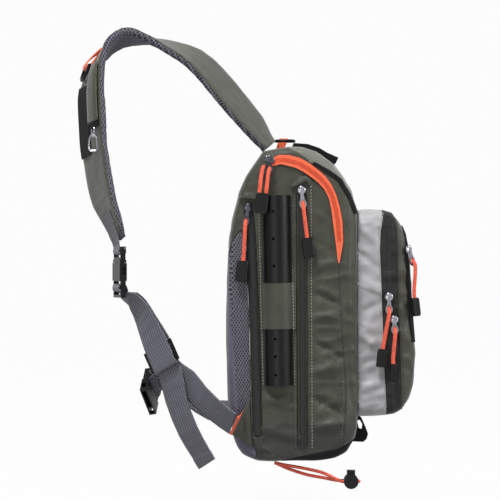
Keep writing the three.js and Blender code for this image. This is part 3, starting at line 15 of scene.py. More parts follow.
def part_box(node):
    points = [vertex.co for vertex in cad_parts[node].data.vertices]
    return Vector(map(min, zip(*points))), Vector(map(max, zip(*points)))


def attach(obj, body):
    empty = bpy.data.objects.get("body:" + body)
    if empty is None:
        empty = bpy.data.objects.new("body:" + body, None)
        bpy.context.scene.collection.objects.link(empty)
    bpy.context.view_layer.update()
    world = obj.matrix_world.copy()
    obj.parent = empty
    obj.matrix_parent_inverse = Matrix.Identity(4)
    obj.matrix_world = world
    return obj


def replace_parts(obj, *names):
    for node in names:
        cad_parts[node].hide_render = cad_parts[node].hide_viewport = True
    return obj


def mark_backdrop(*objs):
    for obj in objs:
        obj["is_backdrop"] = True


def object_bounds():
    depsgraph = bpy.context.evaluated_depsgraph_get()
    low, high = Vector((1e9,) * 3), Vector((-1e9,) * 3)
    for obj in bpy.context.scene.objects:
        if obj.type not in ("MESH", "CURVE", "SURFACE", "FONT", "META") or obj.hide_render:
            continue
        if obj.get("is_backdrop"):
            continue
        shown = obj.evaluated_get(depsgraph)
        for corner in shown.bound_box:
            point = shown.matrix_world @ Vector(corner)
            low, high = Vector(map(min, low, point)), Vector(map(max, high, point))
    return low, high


MM = 0.001

# Driving sizes of the body, the pocket and the strap
BODY_HEIGHT = 427 * MM
BODY_DEPTH = 178 * MM
BODY_WIDTH = 240 * MM
BODY_BACK = 125.26 * MM
BODY_BOTTOM = -571.06 * MM
TOP_TAPER = 0.2
POCKET_HEIGHT = 281 * MM
POCKET_DEPTH = 80 * MM
POCKET_WIDTH = 190 * MM
POCKET_BACK = BODY_BACK + BODY_DEPTH
POCKET_BOTTOM = BODY_BOTTOM + 59 * MM
ZIP_PROUD = 3 * MM
COIL_PROUD = 1.8 * MM
GAP = 0.3 * MM
SKIN = 1.4 * MM

# Cords and their pulls: the cord that the solids leave room for, and the fuller one that shows
PULL_CORD = 4.4 * MM
PULL_THICK = 5.4 * MM
PULL_REACH = 100 * MM
SLIDER_THICKNESS = 4 * MM
TAB_PLATE = 1.6 * MM
TAB_RING = 1.9 * MM
RING_HEIGHT = 4.7 * MM
HEAD_HALF = 6 * MM
WIDE_HEAD_HALF = 7.5 * MM
BORE_DEPTH = 6 * MM
FRONT_PULL_PLACE = -0.9
FRONT_PULL_TURN = math.radians(45)
SHOCK_CORD = 3.6 * MM
SHOCK_THICK = 4.6 * MM
STRAND_GAP = 14.4 * MM
LOOP_FORWARD = 0.365
LOOP_ASIDE = 0.415
LOOP_LOW = 0.76 * SHOCK_CORD
LOOP_REACH = 104 * MM
LOOP_DROP = 25 * MM
LOCK_RADIUS = 10 * MM
LOCK_SLACK = 1 * MM
LOCK_TURNS = (70, 35, 0, -35, -70)

# Camera: a long lens, level with the middle of the bag and square to its side
VIEW_CENTRE = Vector((0.1573, 0, -0.2853))
VIEW_DISTANCE = 4.0
VIEW_LENS = 207
SENSOR_WIDTH = 36

# Lights: name, place, power in watts and side of the lamp
LIGHTS = [
    ("key", (-0.4, -1.1, 2.0), 62, 0.6),
    ("fill", (2.2, -0.9, 0.5), 26, 0.7),
    ("front", (-0.8, -3.0, -0.2), 18, 1.4),
]
AMBIENT = 0.32
PAPER_WHITE = 0.97
PAPER_SIZE = 30
FLOOR_DROP = 0.02
BACKDROP_PLACE = 12

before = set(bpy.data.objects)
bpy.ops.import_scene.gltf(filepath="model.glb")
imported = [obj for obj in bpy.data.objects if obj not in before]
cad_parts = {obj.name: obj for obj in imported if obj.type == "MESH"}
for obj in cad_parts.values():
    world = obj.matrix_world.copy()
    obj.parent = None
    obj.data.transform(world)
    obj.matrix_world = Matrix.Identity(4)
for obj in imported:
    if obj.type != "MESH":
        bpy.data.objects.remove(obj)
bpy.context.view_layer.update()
scene = bpy.context.scene


def body_x(u):
    return BODY_BACK + u * BODY_DEPTH


def body_z(v):
    return BODY_BOTTOM + v * BODY_HEIGHT


def pocket_x(u):
    return POCKET_BACK + u * POCKET_DEPTH


def pocket_z(v):
    return POCKET_BOTTOM + v * POCKET_HEIGHT


def on_body(rows):
    return [(body_x(u), body_z(v)) for u, v in rows]


def on_pocket(rows):
    return [(pocket_x(u), pocket_z(v)) for u, v in rows]


def half_width(z):
    return BODY_WIDTH / 2 * (1 - TOP_TAPER * (z - BODY_BOTTOM) / BODY_HEIGHT)


def pocket_half(z):
    return half_width(z) * POCKET_WIDTH / BODY_WIDTH


# Camera and light
def make_camera():
    camera = bpy.data.objects.new("camera", bpy.data.cameras.new("camera"))
    camera.location = VIEW_CENTRE - Vector((0, VIEW_DISTANCE, 0))
    camera.rotation_euler = (math.pi / 2, 0, 0)
    camera.data.lens = VIEW_LENS
    camera.data.sensor_width = SENSOR_WIDTH
    scene.collection.objects.link(camera)
    scene.camera = camera


def make_light(name, place, power, size):
    light = bpy.data.lights.new(name, "AREA")
    light.energy = power
    light.size = size
    lamp = bpy.data.objects.new(name, light)
    lamp.location = place
    lamp.rotation_euler = (VIEW_CENTRE - Vector(place)).to_track_quat("-Z", "Y").to_euler()
    scene.collection.objects.link(lamp)
    lamp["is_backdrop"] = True


def make_paper(name, place, turn):
    """A large sheet of pale paper that lights nothing but itself"""
    bpy.ops.mesh.primitive_plane_add(size=PAPER_SIZE, location=place, rotation=turn)
    paper = bpy.context.object
    paper.name = name
    paper.data.materials.append(glow(name, PAPER_WHITE))
    paper.visible_diffuse = False
    return paper


def make_studio():
    for row in LIGHTS:
        make_light(*row)
    world = bpy.data.worlds.new("studio")
    world.use_nodes = True
    world.node_tree.nodes["Background"].inputs["Color"].default_value = (1, 1, 1, 1)
    world.node_tree.nodes["Background"].inputs["Strength"].default_value = AMBIENT
    scene.world = world
    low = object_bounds()[0][2]
    floor = make_paper("floor", (0, 0, low - FLOOR_DROP), (0, 0, 0))
    backdrop = make_paper("backdrop", (0, BACKDROP_PLACE, 0), (math.pi / 2, 0, 0))
    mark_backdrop(floor, backdrop)
    scene.view_settings.view_transform = "Standard"


# Materials: the ribs of the webbing, and how much a step to the side counts in a mesh's pattern
RIB_PITCH = 3.2 * MM
Y_SHARE = 0.8


def linear(colour):
    return tuple(c / 12.92 if c <= 0.04045 else ((c + 0.055) / 1.055) ** 2.4 for c in colour)


def plain(name, colour, rough, metal=0.0, shine=0.5):
    made = bpy.data.materials.new(name)
    made.use_nodes = True
    shader = made.node_tree.nodes["Principled BSDF"]
    shader.inputs["Base Color"].default_value = (*linear(colour), 1)
    shader.inputs["Roughness"].default_value = rough
    shader.inputs["Metallic"].default_value = metal
    shader.inputs["Specular IOR Level"].default_value = shine
    return made


def glow(name, strength):
    """Evenly lit pale paper behind and under the bag"""
    made = plain(name, (0.15, 0.15, 0.15), 1.0, shine=0.0)
    shader = made.node_tree.nodes["Principled BSDF"]
    shader.inputs["Emission Color"].default_value = (1, 1, 1, 1)
    shader.inputs["Emission Strength"].default_value = strength
    return made


def add_bump(made, height_socket, strength, distance):
    tree = made.node_tree
    shader = tree.nodes["Principled BSDF"]
    bump = tree.nodes.new("ShaderNodeBump")
    bump.inputs["Strength"].default_value = strength
    bump.inputs["Distance"].default_value = distance
    tree.links.new(height_socket, bump.inputs["Height"])
    tree.links.new(bump.outputs["Normal"], shader.inputs["Normal"])


def add_ramp(made, height_socket, low, high):
    """Colour from a height: low and high each give a height and the colour there"""
    tree = made.node_tree
    ramp = tree.nodes.new("ShaderNodeValToRGB")
    for stop, (position, colour) in zip(ramp.color_ramp.elements, (low, high)):
        stop.position = position
        stop.color = (*linear(colour), 1)
    tree.links.new(height_socket, ramp.inputs["Fac"])
    tree.links.new(ramp.outputs["Color"], tree.nodes["Principled BSDF"].inputs["Base Color"])


def object_place(made):
    return made.node_tree.nodes.new("ShaderNodeTexCoord").outputs["Object"]


def maths(made, kind, a, b=None):
    """A step of arithmetic on one or two values or sockets"""
    node = made.node_tree.nodes.new("ShaderNodeMath")
    node.operation = kind
    for i, value in enumerate([a, b]):
        if value is None:
            continue
        if isinstance(value, (int, float)):
            node.inputs[i].default_value = value
        else:
            made.node_tree.links.new(value, node.inputs[i])
    return node.outputs[0]


def cloth(name, colour, rough=0.46, spread=0.1, crumple=1.4 * MM, size=60, shine=0.5, sheen=0.15):
    """Woven cloth: slow changes of shade, and small soft creases"""
    made = plain(name, colour, rough, shine=shine)
    tree = made.node_tree
    place = object_place(made)
    shade = tree.nodes.new("ShaderNodeTexNoise")
    shade.inputs["Scale"].default_value = size
    shade.inputs["Detail"].default_value = 5
    tree.links.new(place, shade.inputs["Vector"])
    darker = [c * (1 - spread) for c in colour]
    lighter = [min(1, c * (1 + spread)) for c in colour]
    add_ramp(made, shade.outputs["Fac"], (0.3, darker), (0.7, lighter))
    add_bump(made, shade.outputs["Fac"], 0.6, crumple)
    tree.nodes["Principled BSDF"].inputs["Sheen Weight"].default_value = sheen
    return made


def air_mesh(name, light, dark, wide, high):
    """Mesh cloth: light threads round small diamonds of a width and a height, painted dark as painted shade
    in the mesh's holes
    """
    made = plain(name, light, 0.85)
    tree = made.node_tree
    split = tree.nodes.new("ShaderNodeSeparateXYZ")
    tree.links.new(object_place(made), split.inputs[0])
    x, y, z = split.outputs
    flat = maths(made, "ADD", x, maths(made, "MULTIPLY", y, Y_SHARE))
    threads = []
    for sign in (1, -1):
        forward = maths(made, "MULTIPLY", flat, math.pi / wide)
        upward = maths(made, "MULTIPLY", z, sign * math.pi / high)
        mixed = maths(made, "ADD", forward, upward)
        threads.append(maths(made, "ABSOLUTE", maths(made, "SINE", mixed)))
    height = maths(made, "MINIMUM", *threads)
    # Painted shade: the sunken diamonds between the threads are coloured dark
    add_ramp(made, height, (0.25, light), (0.5, dark))
    add_bump(made, maths(made, "MULTIPLY", height, -1), 0.7, 0.8 * MM)
    return made


def ribbed_cloth():
    """Webbing with ribs along it, from the distance across that its points carry, and painted shade in the
    grooves between the ribs
    """
    made = cloth("ribbed webbing", (0.40, 0.40, 0.445), 0.7, 0.08, 0.4 * MM, 300)
    across = made.node_tree.nodes.new("ShaderNodeAttribute")
    across.attribute_name = "across"
    turn = maths(made, "MULTIPLY", across.outputs["Fac"], 2 * math.pi / RIB_PITCH)
    wave = maths(made, "SINE", turn)
    # Painted shade: the grooves between the ribs are coloured darker and the crests lighter
    add_ramp(made, wave, (0.0, (0.30, 0.30, 0.345)), (0.55, (0.43, 0.43, 0.475)))
    add_bump(made, wave, 0.5, 0.3 * MM)
    return made


NYLON = {"rough": 0.56, "crumple": 2.2 * MM, "size": 45, "shine": 0.4}
LOOKS = {
    "olive": cloth("olive cloth", (0.22, 0.225, 0.18), **NYLON),
    "olive_low": cloth("dark olive cloth", (0.165, 0.17, 0.145), **NYLON),
    "olive_light": cloth("light olive cloth", (0.42, 0.425, 0.39), spread=0.08),
    "olive_strap": cloth("olive strap cloth", (0.25, 0.255, 0.215), spread=0.08),
    "silver_cloth": cloth("silver cloth", (0.64, 0.635, 0.645), 0.5, 0.04),
    "black_cloth": cloth("black cloth", (0.03, 0.03, 0.04), 0.7, 0.2, shine=0.2, sheen=0.02),
    "zip_tape": cloth("zip tape", (0.14, 0.135, 0.125), 0.7, 0.1, shine=0.25, sheen=0.04),
    "orange": cloth("orange tape", (0.95, 0.40, 0.23), 0.7, 0.06, 0.5 * MM, 160),
    "orange_cord": cloth("orange cord", (0.94, 0.34, 0.23), 0.7, 0.16, 0.8 * MM, 420),
    "web_grey": cloth("grey webbing", (0.36, 0.36, 0.40), 0.75, 0.12, 0.6 * MM, 320),
    "ribbed": ribbed_cloth(),
    "pad_edge": cloth("smooth pad cloth", (0.345, 0.335, 0.40), 0.85, 0.06),
    # The dark colour of each mesh is painted shade in its holes
    "mesh_grey": air_mesh("air mesh", (0.46, 0.45, 0.50), (0.15, 0.145, 0.18), 3.8 * MM, 6.4 * MM),
    "strap_mesh": air_mesh("strap mesh", (0.47, 0.46, 0.52), (0.14, 0.135, 0.17), 5.4 * MM, 7.6 * MM),
    "stitch": plain("stitches", (0.60, 0.59, 0.56), 0.8),
    "dark_stitch": plain("dark stitches", (0.36, 0.36, 0.32), 0.8),
    "coil": plain("zip coil", (0.13, 0.13, 0.145), 0.45),
    "orange_coil": plain("orange zip coil", (0.80, 0.27, 0.12), 0.5),
    "black_plastic": plain("black plastic", (0.025, 0.025, 0.038), 0.42, shine=0.28),
    "steel": plain("steel", (0.66, 0.66, 0.69), 0.3, 1.0),
    "gunmetal": plain("gunmetal", (0.36, 0.36, 0.39), 0.32, 1.0),
}


# Meshes: points closer than this are joined, and long edges are split at most this many times
WELD = 0.02 * MM
SPLITS = 7


def piece(name, mesh, looks, body="root", smooth=True):
    """A visible piece from a mesh, with its looks, that moves with a body"""
    made = bpy.data.objects.new(name, mesh)
    scene.collection.objects.link(made)
    for look in looks:
        mesh.materials.append(LOOKS[look])
    if smooth:
        mesh.shade_smooth()
        mesh.set_sharp_from_angle(angle=math.radians(50))
    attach(made, body)
    return made


def refined(node, size, rounds, keep=50):
    """The node's surface with short edges, and its facets rounded between its sharp edges"""
    mesh = bmesh.new()
    mesh.from_mesh(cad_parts[node].data)
    bmesh.ops.remove_doubles(mesh, verts=mesh.verts, dist=WELD)
    bmesh.ops.dissolve_degenerate(mesh, edges=mesh.edges, dist=WELD)
    for _ in range(SPLITS):
        long = [edge for edge in mesh.edges if edge.calc_length() > size]
        if not long:
            break
        bmesh.ops.subdivide_edges(mesh, edges=long, cuts=1)
        bmesh.ops.triangulate(mesh, faces=[face for face in mesh.faces if len(face.verts) > 3])
    sharp = set()
    for edge in mesh.edges:
        if len(edge.link_faces) == 2 and edge.calc_face_angle(0) > math.radians(keep):
            sharp.update(edge.verts)
    free = [vert for vert in mesh.verts if vert not in sharp]
    for _ in range(rounds):
        bmesh.ops.smooth_vert(mesh, verts=free, factor=0.5,
                              use_axis_x=True, use_axis_y=True, use_axis_z=True)
    return mesh


def dressed(node, looks, size=5 * MM, rounds=3, field=None, region=None, keep=50):
    """A finer skin that stands for a cloth node: field moves its points, region picks the look"""
    fine = refined(node, size, rounds, keep)
    if field:
        for vert in fine.verts:
            vert.co += field(vert.co)
    fine.normal_update()
    if region:
        for face in fine.faces:
            face.material_index = region(face.calc_center_median())
    mesh = bpy.data.meshes.new(f"skin_{node}")
    fine.to_mesh(mesh)
    fine.free()
    made = piece(f"skin_{node}", mesh, looks)
    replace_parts(made, node)
    return made


# A fold starts and ends at this share of a half wave, so that its ends are low but not flat
FOLD_END = 0.15


def crease(x, z, rows):
    """Height of the folds at a place: each row has two ends, a width and a height"""
    total = 0.0
    for (ax, az), (bx, bz), width, height in rows:
        dx, dz = bx - ax, bz - az
        length = math.hypot(dx, dz)
        along = max(0.0, min(1.0, ((x - ax) * dx + (z - az) * dz) / length ** 2))
        off = math.hypot(x - ax - along * dx, z - az - along * dz)
        fade = math.sin(math.pi * (FOLD_END + (1 - 2 * FOLD_END) * along))
        total += height * fade * math.exp(-((off / width) ** 2))
    return total


def ripple(place, size, stretch=(1, 1, 1)):
    return noise.noise(Vector([c * s / size for c, s in zip(place, stretch)]))


def fold_rows(folds, across, up):
    """Folds with their ends in metres, from a table with its ends in shares"""
    return [((across(a[0]), up(a[1])), (across(b[0]), up(b[1])), width, height)
            for a, b, width, height in folds]


# The folds are this much higher than their tables say
FOLD_SHARE = 2.9
POCKET_FOLD_SHARE = 1.6

# Folds of the body's side: two ends as shares of its depth and height, then width and height
SIDE_FOLDS = [
    ((0.66, 0.80), (0.82, 0.74), 5 * MM, 1.6 * MM), ((0.67, 0.70), (0.84, 0.66), 4 * MM, -1.4 * MM),
    ((0.66, 0.61), (0.84, 0.63), 5 * MM, 1.8 * MM), ((0.67, 0.53), (0.85, 0.50), 4 * MM, -1.5 * MM),
    ((0.66, 0.45), (0.87, 0.47), 5 * MM, 1.7 * MM), ((0.67, 0.38), (0.87, 0.33), 5 * MM, -1.4 * MM),
    ((0.66, 0.28), (0.89, 0.31), 6 * MM, 1.8 * MM), ((0.67, 0.20), (0.88, 0.15), 5 * MM, -1.5 * MM),
    ((0.67, 0.11), (0.87, 0.12), 6 * MM, 1.5 * MM), ((0.30, 0.20), (0.52, 0.17), 6 * MM, 1.4 * MM),
    ((0.27, 0.10), (0.55, 0.08), 7 * MM, 1.5 * MM), ((0.93, 0.66), (0.97, 0.30), 5 * MM, 1.5 * MM),
    ((0.24, 0.90), (0.60, 0.905), 7 * MM, -1.2 * MM), ((0.10, 0.78), (0.14, 0.70), 5 * MM, 1.4 * MM),
    ((0.93, 0.30), (0.96, 0.10), 5 * MM, -1.5 * MM), ((0.74, 0.84), (0.93, 0.76), 6 * MM, 1.5 * MM),
]
SIDE_ROWS = fold_rows(SIDE_FOLDS, body_x, body_z)

# Folds of the pocket's side, as shares of its depth and height
POCKET_FOLDS = [
    ((0.0, 0.93), (0.36, 0.84), 6 * MM, 2.0 * MM), ((0.0, 0.80), (0.36, 0.72), 5 * MM, -1.8 * MM),
    ((0.02, 0.66), (0.38, 0.62), 6 * MM, 1.8 * MM), ((0.0, 0.50), (0.38, 0.55), 5 * MM, -1.8 * MM),
    ((0.02, 0.40), (0.40, 0.33), 6 * MM, 2.2 * MM), ((0.02, 0.25), (0.42, 0.28), 5 * MM, -1.8 * MM),
    ((0.0, 0.12), (0.42, 0.18), 6 * MM, 2.0 * MM), ((0.1, 0.02), (0.45, 0.06), 5 * MM, -1.4 * MM),
    ((0.75, 0.72), (0.95, 0.66), 5 * MM, 1.6 * MM), ((0.74, 0.55), (0.97, 0.50), 5 * MM, -1.5 * MM),
    ((0.74, 0.40), (0.98, 0.36), 6 * MM, 1.8 * MM), ((0.76, 0.24), (0.98, 0.22), 5 * MM, -1.6 * MM),
    ((0.74, 0.10), (0.92, 0.12), 5 * MM, 1.4 * MM),
]
POCKET_ROWS = fold_rows(POCKET_FOLDS, pocket_x, pocket_z)


def ridges(place, size, stretch=(1, 1, 1)):
    """Narrow crests between shallow hollows, from -0.5 to 0.5"""
    return (1 - abs(ripple(place, size, stretch))) ** 4 - 0.5


# The cloth grows calmer from a share of the height, over a further share, by a part of its folds
CALM_FROM = 0.58
CALM_OVER = 0.10
CALM_PART = 0.7

# The loose side panel, the loose cloth under the tube, and how loose the rest is
PANEL_BACK = 0.66
PANEL_FRONT = 0.99
PANEL_FADE = 0.04
LOW_BACK = 0.27
LOW_FRONT = 0.5
LOW_TOP = 0.22
LOW_LOOSE = 0.9
TAUT_LOOSE = 0.35

# Sizes and heights of the small crests and wrinkles, and how much higher the far side's folds sit
CREST = 26 * MM
CREST_HEIGHT = 3.4 * MM
WRINKLE = 13 * MM
WRINKLE_HEIGHT = 1.6 * MM
POCKET_CREST = 24 * MM
POCKET_CREST_HEIGHT = 2.6 * MM
POCKET_WRINKLE = 12 * MM
POCKET_WRINKLE_HEIGHT = 1.4 * MM
FAR_RISE = 12 * MM

# Slow waves of the two fronts, the share of the half width where the flanks begin to fold, and shifts
# that give each direction waves of its own
FRONT_WAVE = 30 * MM
FRONT_WAVE_HEIGHT = 0.9 * MM
POCKET_WAVE = 26 * MM
POCKET_WAVE_HEIGHT = 1.6 * MM
FLANK_FROM = 0.75
WAVE_SHIFTS = (0.0, 3.1, 7.7)


def calm(v):
    """What is left of the folds near the main zip: 1 well below it, less beside it"""
    return 1 - CALM_PART * min(1.0, max(0.0, (v - CALM_FROM) / CALM_OVER))


def flank_share(place, half):
    """1 on the side faces, 0 on the front, and between them near the edges"""
    return min(1.0, max(0.0, (abs(place.y) / half - FLANK_FROM) / (1 - FLANK_FROM)))


def looseness(place):
    """Cloth between the seams and zips of the body's side is free to crease"""
    u = (place.x - BODY_BACK) / BODY_DEPTH
    v = (place.z - BODY_BOTTOM) / BODY_HEIGHT
    if PANEL_BACK < u < PANEL_FRONT:
        return min(1.0, (u - PANEL_BACK) / PANEL_FADE) * calm(v)
    if LOW_BACK < u < LOW_FRONT and v < LOW_TOP:
        return LOW_LOOSE
    return TAUT_LOOSE


def body_field(place):
    """Folds of the body's cloth: across on its sides, and forward on its front"""
    side = 1 if place.y > 0 else -1
    flank = flank_share(place, half_width(place.z))
    fold = crease(place.x, place.z - (FAR_RISE if side > 0 else 0), SIDE_ROWS)
    fold *= FOLD_SHARE * calm((place.z - BODY_BOTTOM) / BODY_HEIGHT)
    small = CREST_HEIGHT * ridges(place, CREST, (0.5, 1, 1.2)) + WRINKLE_HEIGHT * ripple(place, WRINKLE)
    fold += looseness(place) * small
    front = FRONT_WAVE_HEIGHT * ripple(place, FRONT_WAVE, (1, 0.5, 1.6)) * (1 - flank)
    return Vector((front, side * flank * fold, front * 0.5))


def pocket_field(place):
    """Folds of the pocket's cloth: across on its sides, and forward on its front"""
    side = 1 if place.y > 0 else -1
    flank = flank_share(place, pocket_half(place.z))
    fold = crease(place.x, place.z, POCKET_ROWS) * POCKET_FOLD_SHARE
    fold += POCKET_CREST_HEIGHT * ridges(place, POCKET_CREST, (0.7, 1, 1.2))
    fold += POCKET_WRINKLE_HEIGHT * ripple(place, POCKET_WRINKLE)
    front = POCKET_WAVE_HEIGHT * ripple(place, POCKET_WAVE, (1, 0.6, 1.8)) * (1 - flank)
    ahead = (place.x - POCKET_BACK) / POCKET_DEPTH
    return Vector((front * max(0.0, ahead), side * flank * fold, 0))


def soft_field(size, height):
    """Soft waves of a size and height, in every direction"""
    def field(place):
        return Vector([height * ripple(place + Vector((shift, 0, 0)), size) for shift in WAVE_SHIFTS])
    return field


# Trim line: the lighter top and front panel lies beyond it
TRIM = [(0.46, 1.0), (0.60, 0.965), (0.66, 0.945), (0.789, 0.916), (0.873, 0.891), (0.938, 0.845),
        (0.996, 0.785), (1.05, 0.70)]
SEAM = [(0.855, 0.622), (0.868, 0.511), (0.887, 0.369), (0.907, 0.258), (0.908, 0.163), (0.894, 0.049)]


# The lighter front face, and the darker cloth at the foot
FRONT_FACE = 0.97
FRONT_HALF = 90 * MM
DARK_TOP = 0.12

# The pad's smooth edge is a strip that widens downwards, and its mesh stops above the foot. On its
# sides the mesh starts at one share of the half width, and on its back it ends at another
STRIP_WIDTH = 0.02
STRIP_SLOPE = 0.18
STRIP_TOP = 0.54
MESH_FOOT = 0.09
SIDE_MESH_FROM = 0.9
BACK_MESH_TO = 0.8
BACK_MESH_DEPTH = 0.2
BACK_MESH_FOOT = 0.05


def beyond(rows, u, v):
    """Whether a place is above a line that falls from left to right"""
    for (au, av), (bu, bv) in zip(rows, rows[1:]):
        if au <= u <= bu:
            return v > av + (bv - av) * (u - au) / (bu - au)
    return False


def body_region(place):
    """0 for the body's olive, 1 for the darker foot and 2 for the lighter top and front"""
    u = (place.x - BODY_BACK) / BODY_DEPTH
    v = (place.z - BODY_BOTTOM) / BODY_HEIGHT
    if beyond(TRIM, u, v) or (u > FRONT_FACE and abs(place.y) < FRONT_HALF):
        return 2
    if v < DARK_TOP:
        return 1
    return 0


def pad_region(place):
    """0 where the pad is mesh and 1 where it is smooth"""
    u = (place.x - BODY_BACK) / BODY_DEPTH
    v = (place.z - BODY_BOTTOM) / BODY_HEIGHT
    aside = abs(place.y) / half_width(place.z)
    strip = STRIP_WIDTH + STRIP_SLOPE * max(0, STRIP_TOP - v)
    on_side = aside > SIDE_MESH_FROM and u > strip and v > MESH_FOOT
    on_back = aside < BACK_MESH_TO and u < BACK_MESH_DEPTH and v > BACK_MESH_FOOT
    return 0 if on_side or on_back else 1


# Sizes and heights of the swellings of the padded strap
PUFF_OUT = 30 * MM
PUFF_OUT_HEIGHT = 0.5 * MM
PUFF_UP = 22 * MM
PUFF_UP_HEIGHT = 0.6 * MM


def strap_puff(place):
    """Slight swellings of the padded strap"""
    forward = PUFF_OUT_HEIGHT * ripple(place, PUFF_OUT)
    return Vector((forward, 0, PUFF_UP_HEIGHT * ripple(place, PUFF_UP)))


def make_skins():
    skins = {}
    skins["body"] = dressed("body_shell", ["olive", "olive_low", "olive_light"], 5 * MM, 4,
                            body_field, body_region)
    skins["pad"] = dressed("back_pad", ["mesh_grey", "pad_edge"], 6 * MM, 4,
                           soft_field(40 * MM, 0.8 * MM), pad_region)
    skins["bottom"] = dressed("bottom_panel", ["black_cloth"], 7 * MM, 4, body_field)
    skins["gusset"] = dressed("pocket_gusset", ["silver_cloth"], 4.5 * MM, 4,
                              pocket_field)
    skins["pocket_zip"] = dressed("pocket_zip", ["zip_tape"], 5 * MM, 4, pocket_field)
    skins["pocket"] = dressed("pocket_front", ["olive"], 4.5 * MM, 4, pocket_field)
    skins["cover"] = dressed("strap_cover", ["olive_strap"], 6 * MM, 5, strap_puff, keep=60)
    skins["strap"] = dressed("strap_pad", ["strap_mesh"], 6 * MM, 5, strap_puff, keep=75)
    skins["strap_pocket"] = dressed("strap_pocket", ["olive_strap"], 5 * MM, 3)
    skins["wing"] = dressed("wing_near", ["olive", "orange"], 4 * MM, 1, None, wing_region)
    skins["wing_far"] = dressed("wing_far", ["olive", "orange"], 4 * MM, 1, None, wing_region)
    return skins


# The wing's piping: the line between its outer corners
PIPING_TOP = Vector((body_x(0.096), 0, body_z(0.146)))
PIPING_FOOT = Vector((body_x(0.034), 0, body_z(0.088)))
PIPING_RADIUS = 2.3 * MM


def wing_region(place):
    """1 on the orange piping of the wing's slanted edge, and 0 elsewhere"""
    flat = Vector((place.x, 0, place.z))
    along = (PIPING_FOOT - PIPING_TOP).normalized()
    off = flat - PIPING_TOP
    return 1 if (off - off.dot(along) * along).length < PIPING_RADIUS else 0


# Nodes shown as they are, with their looks
PLAIN_NODES = {
    "zip_tape": ["back_zip", "mid_zip"],
    "black_cloth": ["trim_near", "trim_far", "top_flap", "front_zip", "front_loop",
                    "strap_patch", "clip_tab"],
    "orange": ["main_zip", "strap_loop", "top_loop"],
    "olive": ["tube_band"],
    "web_grey": ["strap_webbing"],
    "black_plastic": ["rod_tube", "buckle_female", "buckle_male", "buckle_spare", "tri_glide", "top_dring",
                      "strap_dring", "cord_lock", "lock_button", "grip_main", "grip_back", "grip_mid",
                      "grip_pocket_a", "grip_pocket_b", "grip_front"],
    "steel": ["slider_mid", "slider_pocket_a", "slider_pocket_b", "slider_front", "swivel_eye", "snap_hook",
              "hook_gate"],
    "gunmetal": ["slider_main", "slider_back"],
}


# Centre lines of the webbings in the side view, in millimetres, for their ribs
WEB_LINES = {
    "webbing_main": [(-30, -330), (-15, -346), (5, -364), (15, -383), (25, -410), (36, -430), (52, -448),
                     (68, -465), (88, -486), (119, -510), (150, -533)],
    "webbing_tail": [(26, -420), (37.2, -448.1), (54.2, -488.8), (70.5, -531.6), (88.1, -561.4),
                     (104, -589)],
    "webbing_far": [(155, -522), (137.3, -521), (85.9, -516.7), (50.2, -499.5), (17.3, -473.8), (5, -464)],
}
WEB_EDGE = 3.5 * MM

# The tail's sewn end: its length and thickness, how far the centre line runs past it, and the height
# of the part that it can lie in
HEM = 11 * MM
HEM_PROUD = 0.7 * MM
LINE_PAST_TAIL = 17 * MM
TAIL_FOOT = 40 * MM


def off_line(x, z, line):
    """How far a place of the side view is from a line, with a sign, and past the line's start"""
    best = None
    passed = 0.0
    for (ax, az), (bx, bz) in zip(line, line[1:]):
        ax, az, bx, bz = ax * MM, az * MM, bx * MM, bz * MM
        dx, dz = bx - ax, bz - az
        length = math.hypot(dx, dz)
        share = max(0.0, min(1.0, ((x - ax) * dx + (z - az) * dz) / length ** 2))
        away = math.hypot(x - ax - share * dx, z - az - share * dz)
        side = ((x - ax) * dz - (z - az) * dx) / length
        if best is None or away < best[0]:
            best = (away, math.copysign(away, side), passed + share * length)
        passed += length
    return best[1], best[2]


def make_webbing():
    for node, line in WEB_LINES.items():
        fine = refined(node, WEB_EDGE, 2)
        fine.normal_update()
        values = []
        end = sum(math.hypot(bx - ax, bz - az) for (ax, az), (bx, bz) in zip(line, line[1:])) * MM
        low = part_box(node)[0].z
        for vert in fine.verts:
            across, along = off_line(vert.co.x, vert.co.z, line)
            values.append(across)
            in_hem = along > end - LINE_PAST_TAIL - HEM and vert.co.z < low + TAIL_FOOT
            if node == "webbing_tail" and in_hem:
                vert.co += vert.normal * HEM_PROUD
        mesh = bpy.data.meshes.new(f"web_{node}")
        fine.to_mesh(mesh)
        fine.free()
        mesh.attributes.new("across", "FLOAT", "POINT").data.foreach_set("value", values)
        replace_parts(piece(f"web_{node}", mesh, ["ribbed"]), node)


def paint_nodes():
    for look, nodes in PLAIN_NODES.items():
        for node in nodes:
            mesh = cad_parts[node].data
            mesh.materials.clear()
            mesh.materials.append(LOOKS[look])


# Cords
def between(a, b, start, end, t):
    """The place at t on the way from a, at start, to b, at end"""
    return ((end - t) * a + (t - start) * b) / (end - start)


def smooth_line(points, per_row):
    """Centripetal curve through points, with per_row points for each stretch"""
    ends = [2 * points[0] - points[1], *points, 2 * points[-1] - points[-2]]
    line = []
    for i in range(1, len(points)):
        p = ends[i - 1:i + 3]
        knots = [0.0]
        for a, b in zip(p, p[1:]):
            knots.append(knots[-1] + max(1e-6, (b - a).length) ** 0.5)
        for j in range(per_row):
            t = knots[1] + (knots[2] - knots[1]) * j / per_row
            near = [between(p[k], p[k + 1], knots[k], knots[k + 1], t) for k in range(3)]
            wide = [between(near[k], near[k + 1], knots[k], knots[k + 2], t) for k in range(2)]
            line.append(between(*wide, knots[1], knots[2], t))
    line.append(points[-1])
    return line


